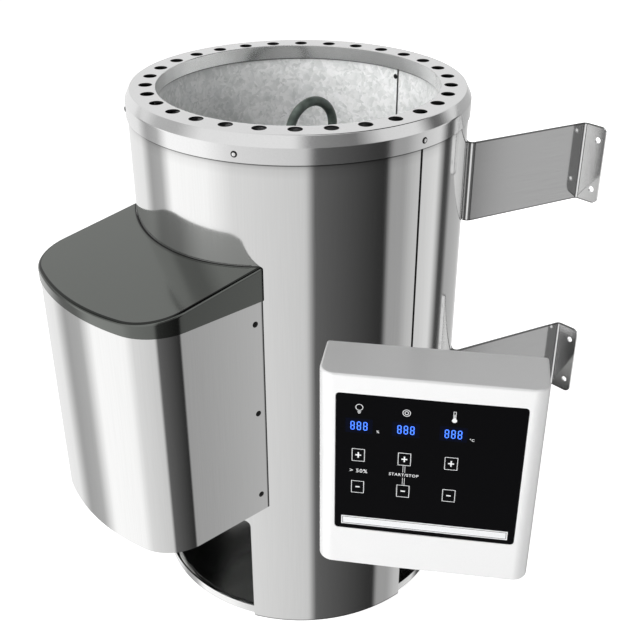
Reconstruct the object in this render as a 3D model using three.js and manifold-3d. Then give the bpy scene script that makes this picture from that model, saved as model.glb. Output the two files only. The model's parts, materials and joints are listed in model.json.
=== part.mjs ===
// An electric sauna heater: a stainless drum on three legs that are part of its shell, a galvanised
// stone chamber with three hairpin elements, a connection box at the front, two wall brackets at the
// back, and the control unit that belongs to it. Millimetres, +Z up, front at -Y, wall at +Y.
// The origin is on the drum's axis, on the floor. Azimuths are in degrees from the front towards +X.
import * as THREE from "three";
import { mergeVertices } from "three/addons/utils/BufferGeometryUtils.js";
import Module from "manifold-3d";

// Fits and sheet
const GAP = 0.3;
const SHEET = 1.2;
const LINER_SHEET = 1;
const STRAP = 2;
const FACET_ARC = 6;

// Drum
const SHELL_R = 150;
const STOVE_H = 498;
const PANEL_COUNT = 3;
const FIRST_SEAM = -30;
const SEAM_WIDTH = 0.6;
const LEG_ARC = 60;
const INLET_H = 120;
const INLET_CORNER = 6;
const LAP_ARC = 4;

// Top ring
const MOUTH_R = 124.5;
const COLLAR_H = 22.5;
const CHAMFER_H = 9;
const CHAMFER_W = 4.5;
const SKIRT_H = 12.5;
const VENT_COUNT = 30;
const VENT_D = 12;
const VENT_RING_R = 133.1;
const COLLAR_SCREW_COUNT = 6;
const COLLAR_SCREW_DROP = 16;

// Stone chamber and base
const CHAMBER_FLOOR_Z = 140;
const CARRIER_LEDGE = 22;
const CARRIER_FLANGE_H = 14;
const AIR_SLOT_COUNT = 9;
const AIR_SLOT_ARC = 28;
const AIR_SLOT_MARGIN = 3;
const GRATE_ROD_D = 6;
const GRATE_PITCH = 28;
const LINER_SEAM = 180;
const RIVET_COUNT = 4;
const RIVET_DROP = 20.5;
const RIVET_PITCH = 98;
const PAN_SHEET = 1.5;
const PAN_RIM_H = 11;
const PAN_ROUND = 3;
const SHIELD_DROP = 3;
const SHIELD_CLEARANCE = 5;

// Heating elements: each is a hairpin in a plane square to the front
const ELEMENT_D = 8.5;
const ELEMENT_PITCH = 45;
const ELEMENT_SPAN = 52;
const ELEMENT_SET_BACK = 15;
const ELEMENT_BEND = 14;
const ELEMENT_LOW_Z = 166;
const ELEMENT_RUN_RISE = 26;
const ELEMENT_TOP_CENTRE = 476;
const ELEMENT_TOP_SIDE = 420;
const ELEMENT_COLD_END = 22;
const ELEMENT_PIN_D = 4;
const ELEMENT_PIN_L = 11;
const ELEMENT_HOLE = 13;

// Connection box
const BOX_HALF_W = 91.1;
const BOX_FRONT = 246;
const BOX_BOW_R = 213;
const BOX_CORNER_R = 42;
const BOX_BOTTOM_Z = 142.8;
const BOX_TOP_Z = 357.6;
const BOX_FLANGE_W = 17;
const BOX_FLANGE_ARC = 8;
const BOX_SCREW_SETBACK = 8.6;
const BOX_SCREW_ROWS = 3;
const BOX_SCREW_MARGIN = 19;
const LID_OVERHANG = 0.8;
const LID_WALL = 2.4;
const LID_BACK_H = 31;
const LID_FRONT_H = 10.5;
const LID_ROUND = 6;
const LID_LIP_H = 6;
const LID_LIP = 1.5;
const LID_LEDGE = 1.2;
const PLATE_STAND_OFF = 8;
const PLATE_HALF_W = 66;
const PLATE_MARGIN_Z = 9;

// Inside and under the connection box
const BLOCK_POLES = 5;
const BLOCK_POLE_PITCH = 16;
const BLOCK_DEPTH = 20;
const BLOCK_HEIGHT = 30;
const BLOCK_Z = 282;
const BLOCK_RIB = 2;
const LIMITER_X = 40;
const LIMITER_Y = 214;
const LIMITER_R = 13;
const LIMITER_H = 26;
const LIMITER_NECK_R = 5.5;
const LIMITER_NECK_L = 9;
const LIMITER_NUT_R = 9;
const LIMITER_NUT_H = 4;
const RESET_R = 3;
const RESET_L = 9;
const RESET_PROUD = 3;
const RESET_TRAVEL = 2;
const GLAND_X = 34;
const GLAND_Y = 196;
const GLAND_THREAD_R = 8;
const GLAND_BORE_R = 4.5;
const GLAND_NUT_R = 12;
const GLAND_H = 17;
const LOCKNUT_H = 5;

// Wall brackets: one bent strap at each level
const WALL_Y = 235;
const BRACKET_BEND_X = 144.2;
const BRACKET_END_X = 168.3;
const BRACKET_SPREAD = 15.3;
const BRACKET_H = 76;
const BRACKET_Z = [188.7, 406];
const BRACKET_ROOT_BEND = 5;
const BRACKET_WALL_BEND = 4;
const BRACKET_CORNER = 6;
const BRACKET_HOLE_D = 6;
const BRACKET_HOLE_X = 160.6;
const BRACKET_HOLE_PITCH = 49;
const BRACKET_SCREW_ARC = 15;

// Screws and rivets
const SCREW_HEAD_R = 3.4;
const SCREW_HEAD_H = 2;
const SCREW_SHANK_R = 1.8;
const SCREW_L = 7;
const RIVET_HEAD_R = 2.4;
const RIVET_HEAD_H = 1.1;
const RIVET_SHANK_R = 1.5;
const RIVET_SINK = 0.2;

// Control unit, in its own frame: width X, front at -Y, back at y = 0
const CONTROL_W = 182;
const CONTROL_H = 196;
const CONTROL_D = 54;
const CONTROL_TURN = 39;
const CONTROL_SEAT = 57.5;
const CONTROL_Z = 125;
const HOOD_WALL = 2.5;
const HOOD_FRONT_WALL = 5;
const HOOD_CORNER = 13;
const HOOD_BOW_R = 4000;
const HOOD_EDGE = 1.5;
const HOOD_STRIP = 19;
const HOOD_CAP_H = 14;
const HOOD_CUT_CORNER = 6;
const PANEL_W = 152;
const PANEL_H = 138;
const PANEL_BOTTOM = 40.5;
const PANEL_CORNER = 3;
const PANEL_T = 2;
const PANEL_INSET = 0.9;
const PANEL_LEDGE = 6;
const COLUMN_X = [-57, -19, 19];
const KEY_W = 11;
const KEY_H = 13;
const KEY_CORNER = 1.2;
const KEY_PROUD = 0.3;
const KEY_DEPTH = 4.5;
const KEY_TRAVEL = 0.5;
const PLUS_Z = 9.7;
const MINUS_Z = -23.3;
const DISPLAY_Z = 38.8;
const DISPLAY_W = 20;
const DISPLAY_H = 12;
const DISPLAY_DEPTH = 7;
const BOARD_T = 1.6;
const BOARD_W = 160;
const BOARD_H = 130;
const BOARD_SET_BACK = 8.4;
const POST_R = 3;
const SWITCH_SIZE = 6.2;
const SWITCH_T = 2;
const PLUNGER_R = 1.7;
const BODY_DEPTH = 35;
const BODY_WALL = 2.2;
const BODY_RIBS = 20;
const BODY_RIB_DEPTH = 1;
const WALL_PLATE_W = 150;
const WALL_PLATE_H = 160;
const WALL_PLATE_T = 2;
const WALL_PLATE_CORNER = 8;
const POWER_BOARD_W = 150;
const POWER_BOARD_H = 120;
const POWER_STAND_OFF = 6;
const RELAY_W = 22;
const RELAY_H = 30;
const RELAY_T = 12;
const RELAY_PITCH = 34;
const STRIP_W = 110;
const STRIP_H = 14;
const STRIP_T = 13;
const CABLE_W = 70;
const CABLE_H = 24;
const CABLE_CORNER = 5;
const CABLE_Z = 34;

// Sizes that follow from the ones above
const COLLAR_R = SHELL_R + GAP + SHEET;
const SHELL_IN = SHELL_R - SHEET;
const LAP_IN = SHELL_IN - GAP - SHEET;
const CHAMFER_TURN = Math.atan2(CHAMFER_H, CHAMFER_W);
const CHAMFER_TOP_MITRE = SHEET * Math.tan(CHAMFER_TURN / 2);
const CHAMFER_SIDE_MITRE = SHEET * Math.tan((Math.PI / 2 - CHAMFER_TURN) / 2);
const SHELL_TOP = STOVE_H - CHAMFER_H - CHAMFER_SIDE_MITRE - GAP;
const PANEL_ARC = 360 / PANEL_COUNT;
const INLET_ARC = PANEL_ARC - LEG_ARC;
const LINER_R = MOUTH_R + SHEET + GAP;
const LINER_OUT = LINER_R + LINER_SHEET;
const LINER_TOP = STOVE_H - SHEET - GAP;
const CARRIER_R = LAP_IN - GAP;
const GRATE_R = LINER_R - GAP - GRATE_ROD_D / 2;
const PAN_R = SHELL_IN - GAP;
const COLLAR_SCREW_Z = STOVE_H - COLLAR_SCREW_DROP;
const ELEMENT_X = [-ELEMENT_PITCH, 0, ELEMENT_PITCH];
const ELEMENT_RUN_Z = [ELEMENT_LOW_Z, ELEMENT_LOW_Z + ELEMENT_RUN_RISE];
const BOX_BACK_R = SHELL_R + GAP;
const PLATE_Y = -(BOX_BACK_R + PLATE_STAND_OFF);
const ELEMENT_END_Y = PLATE_Y - ELEMENT_COLD_END;
const SCREW_SEAT = 0.1;
const RIVET_L = 2 * LINER_SHEET + GAP + RIVET_HEAD_H;
const HOLE_R = SCREW_SHANK_R + GAP;
const FRONT_Y = -CONTROL_D;
const PANEL_FRONT_Y = FRONT_Y + PANEL_INSET;
const HOOD_INNER_Y = FRONT_Y + HOOD_FRONT_WALL;
const BOARD_Y = PANEL_FRONT_Y + BOARD_SET_BACK;
const PANEL_MID_Z = PANEL_BOTTOM + PANEL_H / 2;
const BODY_HALF_W = CONTROL_W / 2 - HOOD_WALL - GAP;
const BODY_BOTTOM = HOOD_WALL + GAP;
const BODY_TOP = CONTROL_H - HOOD_WALL - GAP;
const BODY_BACK = -(WALL_PLATE_T + GAP);
const BODY_FRONT = BODY_BACK - BODY_DEPTH;

const wasm = await Module();
wasm.setup();

const rad = THREE.MathUtils.degToRad;
const AXIS_X = new THREE.Vector3(1, 0, 0);
const AXIS_Y = new THREE.Vector3(0, 1, 0);
const AXIS_Z = new THREE.Vector3(0, 0, 1);

// Finishes
const finish = (color, metalness, roughness) =>
  new THREE.MeshStandardMaterial({ color, metalness, roughness });
const polished = finish(0xd4d5d6, 1, 0.18);
const satin = finish(0xc9cacb, 1, 0.35);
const galvanised = finish(0xbfc6ca, 0.9, 0.5);
const darkSteel = finish(0x3d4240, 0.8, 0.45);
const plainSteel = finish(0x9b9d9f, 1, 0.4);
const lidGrey = finish(0x696c68, 0.1, 0.4);
const whitePlastic = finish(0xf3f3f3, 0, 0.25);
const blackPlastic = finish(0x151515, 0, 0.5);
const blackGlass = finish(0x0a0a0b, 0, 0.08);
const blueDisplay = finish(0x2a52d8, 0, 0.2);
const greenBoard = finish(0x1f5b37, 0, 0.6);
const redPlastic = finish(0xb02020, 0, 0.4);
const ceramic = finish(0xe6e1d6, 0, 0.6);

// A closed three.js geometry as a solid, with its faces turned outwards
function solid(geometry) {
  const loose = geometry.index ? geometry.toNonIndexed() : geometry;
  const plain = new THREE.BufferGeometry();
  plain.setAttribute("position", loose.getAttribute("position"));
  const merged = mergeVertices(plain, 1e-3);
  const corners = [];
  const index = merged.index.array;
  for (let i = 0; i < index.length; i += 3) {
    const [a, b, c] = [index[i], index[i + 1], index[i + 2]];
    if (a !== b && b !== c && c !== a) corners.push(a, b, c);
  }
  const make = (triVerts) =>
    new wasm.Manifold(
      new wasm.Mesh({
        numProp: 3,
        vertProperties: merged.attributes.position.array,
        triVerts: new Uint32Array(triVerts),
      }),
    );
  const made = make(corners);
  return made.volume() < 0 ? make(corners.reverse()) : made;
}

function geometryOf(made) {
  const mesh = made.getMesh();
  const geometry = new THREE.BufferGeometry();
  geometry.setAttribute("position", new THREE.BufferAttribute(mesh.vertProperties, 3));
  geometry.setIndex(new THREE.BufferAttribute(mesh.triVerts, 1));
  geometry.computeVertexNormals();
  return geometry;
}

const join = (solids) => solids.reduce((all, next) => all.add(next));
const cut = (made, tools) => tools.reduce((rest, tool) => rest.subtract(tool), made);

// Prisms of a flat outline: upright, along Y (outline in X and Z) and along X (outline in Y and Z)
function extruded(shape, depth, curveSegments) {
  return new THREE.ExtrudeGeometry(shape, { depth, curveSegments, bevelEnabled: false });
}

function upright(shape, z0, z1, curveSegments = 5) {
  return solid(extruded(shape, z1 - z0, curveSegments).translate(0, 0, z0));
}

function alongY(shape, y0, y1, curveSegments = 2) {
  return solid(extruded(shape, y1 - y0, curveSegments).rotateX(Math.PI / 2).translate(0, y1, 0));
}

function alongX(shape, x0, x1, curveSegments = 2) {
  const turn = new THREE.Matrix4().makeBasis(AXIS_Y, AXIS_Z, AXIS_X);
  return solid(extruded(shape, x1 - x0, curveSegments).applyMatrix4(turn).translate(x0, 0, 0));
}

// A profile of [radius, height] points turned about the Z axis
function turned(profile, segments = 360 / FACET_ARC) {
  const points = profile.map(([r, z]) => new THREE.Vector2(r, z));
  const onAxis = profile[0][0] === 0;
  if (!onAxis) points.push(points[0].clone());
  return solid(new THREE.LatheGeometry(points, segments).rotateX(Math.PI / 2));
}

// A sector of a tube about the Z axis between two azimuths
function sector(rIn, rOut, from, to, z0, z1) {
  const shape = new THREE.Shape();
  shape.absarc(0, 0, rOut, rad(from - 90), rad(to - 90), false);
  shape.absarc(0, 0, rIn, rad(to - 90), rad(from - 90), true);
  return upright(shape, z0, z1, Math.ceil((to - from) / FACET_ARC / 2));
}

function rodZ(r, x, y, z0, z1, sides = 16) {
  const rod = new THREE.CylinderGeometry(r, r, z1 - z0, sides).rotateX(Math.PI / 2);
  return solid(rod.translate(x, y, (z0 + z1) / 2));
}

function rodY(r, x, z, y0, y1, sides = 10) {
  const rod = new THREE.CylinderGeometry(r, r, y1 - y0, sides);
  return solid(rod.translate(x, (y0 + y1) / 2, z));
}

function rodX(r, y, z, x0, x1, sides = 8) {
  const rod = new THREE.CylinderGeometry(r, r, x1 - x0, sides).rotateZ(Math.PI / 2);
  return solid(rod.translate((x0 + x1) / 2, y, z));
}

// A rod that points away from the Z axis at an azimuth
function rodOut(r, from, to, azimuth, z, sides = 8) {
  const rod = new THREE.CylinderGeometry(r, r, to - from, sides);
  return solid(rod.translate(0, -(from + to) / 2, z).rotateZ(rad(azimuth)));
}

function box(x0, x1, y0, y1, z0, z1) {
  const block = new THREE.BoxGeometry(x1 - x0, y1 - y0, z1 - z0);
  return solid(block.translate((x0 + x1) / 2, (y0 + y1) / 2, (z0 + z1) / 2));
}

function roundedRect(x0, x1, y0, y1, r) {
  const shape = new THREE.Shape();
  shape.absarc(x1 - r, y0 + r, r, -Math.PI / 2, 0, false);
  shape.absarc(x1 - r, y1 - r, r, 0, Math.PI / 2, false);
  shape.absarc(x0 + r, y1 - r, r, Math.PI / 2, Math.PI, false);
  shape.absarc(x0 + r, y0 + r, r, Math.PI, Math.PI * 1.5, false);
  return shape;
}

// The plan of a casing with straight sides, round front corners and a front bowed outwards.
// Its back is a straight line at y = back, or the arc of a drum of radius drumR about the Z axis.
function bowedPlan({ halfW, front, bowR, cornerR, back, drumR }) {
  const bowY = bowR - front;
  const cornerX = halfW - cornerR;
  const cornerY = bowY - Math.sqrt((bowR - cornerR) ** 2 - cornerX ** 2);
  const meet = Math.atan2(cornerY - bowY, cornerX);
  const backY = drumR ? -Math.sqrt(drumR ** 2 - halfW ** 2) : back;
  const shape = new THREE.Shape();
  shape.moveTo(halfW, backY);
  shape.lineTo(halfW, cornerY);
  shape.absarc(cornerX, cornerY, cornerR, 0, meet, true);
  shape.absarc(0, bowY, bowR, meet, -Math.PI - meet, true);
  shape.absarc(-cornerX, cornerY, cornerR, -Math.PI - meet, -Math.PI, true);
  shape.lineTo(-halfW, backY);
  if (drumR) {
    const edge = Math.atan2(backY, halfW);
    shape.absarc(0, 0, drumR, -Math.PI - edge, -Math.PI / 2, false);
    shape.absarc(0, 0, drumR, -Math.PI / 2, edge, false);
  }
  return shape;
}

const inset = (plan, by) => ({
  ...plan,
  halfW: plan.halfW - by,
  front: plan.front - by,
  bowR: plan.bowR - by,
  cornerR: plan.cornerR - by,
});

// The corner points of an outline, each place once
function cornersOf(shape, curveSegments) {
  const points = shape.extractPoints(curveSegments).shape;
  return points.filter((point, i) => point.distanceTo(points.at(i - 1)) > 1e-4);
}

// A skin through closed outlines of equal point count, closed by flat ends
function loft(rings) {
  const count = rings[0].length;
  const points = rings.flat();
  const index = [];
  for (let level = 0; level + 1 < rings.length; level += 1) {
    for (let i = 0; i < count; i += 1) {
      const a = level * count + i;
      const b = level * count + ((i + 1) % count);
      index.push(a, b, b + count, a, b + count, a + count);
    }
  }
  const end = (ring, first, flip) => {
    const flat = ring.map((p) => new THREE.Vector2(p.x, p.y));
    for (const [a, b, c] of THREE.ShapeUtils.triangulateShape(flat, [])) {
      const face = flip ? [c, b, a] : [a, b, c];
      index.push(...face.map((i) => first + i));
    }
  };
  const flip = !THREE.ShapeUtils.isClockWise(rings[0].map((p) => new THREE.Vector2(p.x, p.y)));
  end(rings[0], 0, flip);
  end(rings.at(-1), points.length - count, !flip);
  const geometry = new THREE.BufferGeometry().setFromPoints(points);
  geometry.setIndex(index);
  return solid(geometry);
}

// Stations along a run with rounded corners, close together only in the bends
function roundedRun(corners, radii, bendSteps) {
  const stations = [corners[0].clone()];
  corners.slice(1, -1).forEach((corner, i) => {
    const into = corner.clone().sub(corners[i]).normalize();
    const away = corners[i + 2].clone().sub(corner).normalize();
    const turn = into.angleTo(away);
    const reach = radii[i] * Math.tan(turn / 2);
    const side = away.clone().addScaledVector(into, -away.dot(into)).normalize();
    const start = corner.clone().addScaledVector(into, -reach);
    const centre = start.clone().addScaledVector(side, radii[i]);
    for (let step = 0; step <= bendSteps; step += 1) {
      const angle = (turn * step) / bendSteps;
      const at = centre.clone().addScaledVector(side, -radii[i] * Math.cos(angle));
      at.addScaledVector(into, radii[i] * Math.sin(angle));
      if (at.distanceTo(stations.at(-1)) > 1e-3) stations.push(at);
    }
  });
  stations.push(corners.at(-1).clone());
  return stations;
}

// A curve through stations that a sweep visits one by one
class StationCurve extends THREE.Curve {
  constructor(stations) {
    super();
    this.stations = stations;
  }

  getPoint(t, target = new THREE.Vector3()) {
    const place = t * (this.stations.length - 1);
    const i = Math.min(Math.floor(place), this.stations.length - 2);
    return target.lerpVectors(this.stations[i], this.stations[i + 1], place - i);
  }

  getUtoTmapping(u) {
    return u;
  }
}

function tube(stations, diameter, sides) {
  const ring = [];
  for (let i = 0; i < sides; i += 1) {
    const angle = (2 * Math.PI * i) / sides;
    ring.push(new THREE.Vector2(Math.cos(angle), Math.sin(angle)).multiplyScalar(diameter / 2));
  }
  const extrudePath = new StationCurve(stations);
  const steps = stations.length - 1;
  return solid(new THREE.ExtrudeGeometry(new THREE.Shape(ring), { extrudePath, steps }));
}

// A strap of even thickness that follows a plan line
function strapPlan(line, thickness) {
  const side = (sign) =>
    line.map((point, i) => {
      const before = line[Math.max(i - 1, 0)];
      const after = line[Math.min(i + 1, line.length - 1)];
      const along = after.clone().sub(before).normalize();
      return new THREE.Vector2(-along.y, along.x).multiplyScalar((sign * thickness) / 2).add(point);
    });
  return new THREE.Shape([...side(1), ...side(-1).reverse()]);
}

// A pan-head screw or rivet whose head lies on y = 0 and faces -Y
function fastener(headR, headH, shankR, length, sides = 8) {
  const profile = [
    [0, -headH],
    [headR * 0.6, -headH],
    [headR, -headH * 0.35],
    [headR, 0],
    [shankR, 0],
    [shankR, length],
    [0, length],
  ];
  return new THREE.LatheGeometry(
    profile.map(([r, y]) => new THREE.Vector2(r, y)),
    sides,
  );
}

const screw = () => fastener(SCREW_HEAD_R, SCREW_HEAD_H, SCREW_SHANK_R, SCREW_L);
const screwOut = (seatR, azimuth, z) =>
  solid(screw().translate(0, -seatR - SCREW_SEAT, z).rotateZ(rad(azimuth)));

const stove = new THREE.Group();

function add(parent, name, made, material) {
  const mesh = new THREE.Mesh(geometryOf(made), material.clone());
  mesh.name = name;
  parent.add(mesh);
}

// Azimuths of the ring's collar screws, which also hold the shell
const collarScrewAzimuths = Array.from(
  { length: COLLAR_SCREW_COUNT },
  (_, i) => -FIRST_SEAM + (i * 360) / COLLAR_SCREW_COUNT,
);
const bracketScrewPlaces = BRACKET_Z.flatMap((z) =>
  [-1, 1].map((side) => ({ azimuth: 180 - side * BRACKET_SCREW_ARC, z, side })),
);
const elementEnds = ELEMENT_X.flatMap((x) => ELEMENT_RUN_Z.map((z) => ({ x, z })));
const elementHoles = elementEnds.map(({ x, z }) =>
  rodY(ELEMENT_HOLE / 2, x, z, -SHELL_R - SHEET, -SHELL_R / 2),
);

// One rolled panel of the shell: a leg, the air inlet beside it and a lap behind the next panel
function shellPanel(index) {
  const from = FIRST_SEAM + index * PANEL_ARC;
  const to = from + PANEL_ARC;
  const half = THREE.MathUtils.radToDeg(SEAM_WIDTH / 2 / SHELL_R);
  const sheet = sector(SHELL_IN, SHELL_R, from + half, to - half, 0, SHELL_TOP);
  const inletX = SHELL_R * Math.sin(rad(INLET_ARC / 2));
  const inletShape = roundedRect(-inletX, inletX, -INLET_H, INLET_H, INLET_CORNER);
  const inletFront = -SHELL_R * Math.cos(rad(INLET_ARC / 2));
  const inlet = extruded(inletShape, SHELL_R, 3).rotateX(Math.PI / 2).translate(0, inletFront + 5, 0);
  const lapZ = INLET_H + INLET_CORNER;
  const lap = sector(LAP_IN, SHELL_IN - GAP, to - LAP_ARC, to + LAP_ARC, lapZ, SHELL_TOP);
  const weld = sector(LAP_IN, SHELL_IN + SHEET / 2, to - LAP_ARC, to - 2 * half, lapZ, SHELL_TOP);
  const screwHoles = collarScrewAzimuths.map((azimuth) =>
    rodOut(HOLE_R, LAP_IN - 1, SHELL_R + 1, azimuth, COLLAR_SCREW_Z),
  );
  const bracketHoles = bracketScrewPlaces.map(({ azimuth, z }) =>
    rodOut(HOLE_R, LAP_IN - 1, SHELL_R + 1, azimuth, z),
  );
  const cuts = [solid(inlet.rotateZ(rad(from + INLET_ARC / 2))), ...screwHoles, ...bracketHoles];
  return cut(join([sheet, lap, weld]), [...cuts, ...elementHoles]);
}

["shell_panel_front", "shell_panel_rear", "shell_panel_left"].forEach((name, index) => {
  add(stove, name, shellPanel(index), polished);
});

// The pressed ring that closes the drum: collar, chamfer, vented flat and an inner skirt
function topRing() {
  const flat = COLLAR_R - CHAMFER_W;
  const ring = turned([
    [COLLAR_R - SHEET, STOVE_H - COLLAR_H],
    [COLLAR_R, STOVE_H - COLLAR_H],
    [COLLAR_R, STOVE_H - CHAMFER_H],
    [flat, STOVE_H],
    [MOUTH_R, STOVE_H],
    [MOUTH_R, STOVE_H - SKIRT_H],
    [MOUTH_R + SHEET, STOVE_H - SKIRT_H],
    [MOUTH_R + SHEET, STOVE_H - SHEET],
    [flat - CHAMFER_TOP_MITRE, STOVE_H - SHEET],
    [COLLAR_R - SHEET, STOVE_H - CHAMFER_H - CHAMFER_SIDE_MITRE],
  ]);
  const vents = Array.from({ length: VENT_COUNT }, (_, i) => {
    const angle = rad((i * 360) / VENT_COUNT);
    const [x, y] = [VENT_RING_R * Math.sin(angle), -VENT_RING_R * Math.cos(angle)];
    return rodZ(VENT_D / 2, x, y, STOVE_H - 2 * SHEET, STOVE_H + 1, 10);
  });
  const holes = collarScrewAzimuths.map((azimuth) =>
    rodOut(HOLE_R, SHELL_R, COLLAR_R + 1, azimuth, COLLAR_SCREW_Z),
  );
  return cut(ring, [...vents, ...holes]);
}

add(stove, "top_ring", topRing(), satin);
collarScrewAzimuths.forEach((azimuth, i) => {
  add(stove, `collar_screw_${i + 1}`, screwOut(COLLAR_R, azimuth, COLLAR_SCREW_Z), plainSteel);
});

// The galvanised liner of the stone chamber, rolled and riveted at a lapped seam at the back
const rivetPlaces = Array.from({ length: RIVET_COUNT }, (_, i) => STOVE_H - RIVET_DROP - i * RIVET_PITCH);
const RIVET_AZIMUTH = LINER_SEAM + LAP_ARC / 3;

function liner() {
  const half = THREE.MathUtils.radToDeg(SEAM_WIDTH / 2 / LINER_R);
  const bottom = CHAMBER_FLOOR_Z + GAP;
  const wall = sector(LINER_R, LINER_OUT, LINER_SEAM + half, LINER_SEAM + 360 - half, bottom, LINER_TOP);
  const lapTop = STOVE_H - SKIRT_H;
  const lapR = LINER_OUT + GAP;
  const lapEnd = LINER_SEAM + LAP_ARC;
  const lap = sector(lapR, lapR + LINER_SHEET, LINER_SEAM - LAP_ARC, lapEnd, bottom, lapTop);
  const weldTo = LINER_SEAM - 2 * half;
  const weld = sector(LINER_OUT - 0.5, lapR + LINER_SHEET, LINER_SEAM - LAP_ARC, weldTo, bottom, lapTop);
  const rivets = rivetPlaces.map((z) => {
    const inward = fastener(RIVET_HEAD_R, RIVET_HEAD_H, RIVET_SHANK_R, RIVET_L, 6).rotateZ(Math.PI);
    return solid(inward.translate(0, -LINER_R - RIVET_SINK, z).rotateZ(rad(RIVET_AZIMUTH)));
  });
  return join([cut(join([wall, lap, weld]), elementHoles), ...rivets]);
}

add(stove, "liner", liner(), galvanised);

// The ring that carries the chamber, slotted for the air between liner and shell
function carrierRing() {
  const z = CHAMBER_FLOOR_Z;
  const ring = turned([
    [LINER_R - CARRIER_LEDGE, z - SHEET],
    [CARRIER_R - SHEET, z - SHEET],
    [CARRIER_R - SHEET, z - CARRIER_FLANGE_H],
    [CARRIER_R, z - CARRIER_FLANGE_H],
    [CARRIER_R, z],
    [LINER_R - CARRIER_LEDGE, z],
  ], 36);
  const slotIn = LINER_OUT + AIR_SLOT_MARGIN;
  const slotOut = CARRIER_R - SHEET - AIR_SLOT_MARGIN;
  const slots = Array.from({ length: AIR_SLOT_COUNT }, (_, i) => {
    const middle = (i * 360) / AIR_SLOT_COUNT;
    return sector(slotIn, slotOut, middle - AIR_SLOT_ARC / 2, middle + AIR_SLOT_ARC / 2, z - 3, z + 1);
  });
  return cut(ring, slots);
}

add(stove, "carrier_ring", carrierRing(), darkSteel);

// The grate under the stones: a rod hoop with rods across it
function stoneGrate() {
  const z = CHAMBER_FLOOR_Z + GAP + GRATE_ROD_D / 2;
  const hoop = solid(new THREE.TorusGeometry(GRATE_R, GRATE_ROD_D / 2, 6, 24).translate(0, 0, z));
  const side = Math.floor((GRATE_R - GRATE_ROD_D) / GRATE_PITCH);
  const rods = Array.from({ length: 2 * side + 1 }, (_, i) => {
    const x = (i - side) * GRATE_PITCH;
    const reach = Math.sqrt(GRATE_R ** 2 - x ** 2);
    return rodY(GRATE_ROD_D / 2 - 0.4, x, z, -reach, reach, 6);
  });
  return join([hoop, ...rods]);
}

add(stove, "stone_grate", stoneGrate(), darkSteel);

// Hairpin elements: both ends come out at the front, one above the other
function heatingElement(x, top) {
  const front = ELEMENT_SET_BACK - ELEMENT_SPAN / 2;
  const rear = ELEMENT_SET_BACK + ELEMENT_SPAN / 2;
  const [low, high] = ELEMENT_RUN_Z;
  const arch = ELEMENT_SPAN / 2;
  const corners = [
    [ELEMENT_END_Y, high],
    [front, high],
    [front, top],
    [rear, top],
    [rear, low],
    [ELEMENT_END_Y, low],
  ].map(([y, z]) => new THREE.Vector3(x, y, z));
  const run = roundedRun(corners, [ELEMENT_BEND, arch, arch, ELEMENT_BEND], 5);
  const pins = ELEMENT_RUN_Z.map((z) =>
    rodY(ELEMENT_PIN_D / 2, x, z, ELEMENT_END_Y - ELEMENT_PIN_L, ELEMENT_END_Y + 1, 8),
  );
  return join([tube(run, ELEMENT_D, 8), ...pins]);
}

["heating_element_left", "heating_element_centre", "heating_element_right"].forEach((name, i) => {
  const top = ELEMENT_X[i] === 0 ? ELEMENT_TOP_CENTRE : ELEMENT_TOP_SIDE;
  add(stove, name, heatingElement(ELEMENT_X[i], top), darkSteel);
});

// The pan under the drum, and the dark heat shield that lies in it
function basePan() {
  const round = [0, 1, 2].map((step) => {
    const angle = (step * Math.PI) / 4;
    return [PAN_R - PAN_ROUND * (1 - Math.sin(angle)), PAN_ROUND * (1 - Math.cos(angle))];
  });
  return turned([
    [0, 0],
    ...round,
    [PAN_R, PAN_RIM_H],
    [PAN_R - PAN_SHEET, PAN_RIM_H],
    [PAN_R - PAN_SHEET, PAN_ROUND],
    [PAN_R - PAN_ROUND, PAN_SHEET],
    [0, PAN_SHEET],
  ], 48);
}

function heatShield() {
  const top = PAN_RIM_H - SHIELD_DROP;
  const rim = PAN_R - PAN_SHEET - SHIELD_CLEARANCE;
  return turned([
    [0, top - SHEET],
    [rim - SHEET, top - SHEET],
    [rim - SHEET, PAN_SHEET + GAP],
    [rim, PAN_SHEET + GAP],
    [rim, top],
    [0, top],
  ], 36);
}

add(stove, "base_pan", basePan(), polished);
add(stove, "heat_shield", heatShield(), darkSteel);

// Connection box: a bowed wrap, its floor, its lid and what it is screwed to
const boxPlan = {
  halfW: BOX_HALF_W,
  front: BOX_FRONT,
  bowR: BOX_BOW_R,
  cornerR: BOX_CORNER_R,
  drumR: BOX_BACK_R,
};
const boxSideY = -Math.sqrt(BOX_BACK_R ** 2 - BOX_HALF_W ** 2);
const boxScrewY = boxSideY - BOX_SCREW_SETBACK;
const boxScrewZ = Array.from({ length: BOX_SCREW_ROWS }, (_, i) => {
  const rise = BOX_TOP_Z - BOX_BOTTOM_Z - 2 * BOX_SCREW_MARGIN;
  return BOX_BOTTOM_Z + BOX_SCREW_MARGIN + (i * rise) / (BOX_SCREW_ROWS - 1);
});
const boxScrewHoles = boxScrewZ.map((z) => rodX(HOLE_R, boxScrewY, z, -BOX_HALF_W - 5, BOX_HALF_W + 5));
const drumBy = (clearance, z0, z1) => rodZ(SHELL_R + clearance, 0, 0, z0, z1, 360 / FACET_ARC);

function boxWrap() {
  const through = { ...inset(boxPlan, SHEET), drumR: null, back: 0 };
  const core = upright(bowedPlan(through), BOX_BOTTOM_Z - 1, BOX_TOP_Z + 1);
  const block = upright(bowedPlan(boxPlan), BOX_BOTTOM_Z, BOX_TOP_Z);
  return cut(block, [core, ...boxScrewHoles]);
}

add(stove, "box_wrap", boxWrap(), polished);

// Parts that pass through the box's floor
const glandPlaces = [-1, 1].map((side) => ({ x: (side * GLAND_X) / 2 - GLAND_X, y: -GLAND_Y }));
const limiterPlace = { x: LIMITER_X, y: -LIMITER_Y };
const FLOOR_Z = BOX_BOTTOM_Z + SHEET;

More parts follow.
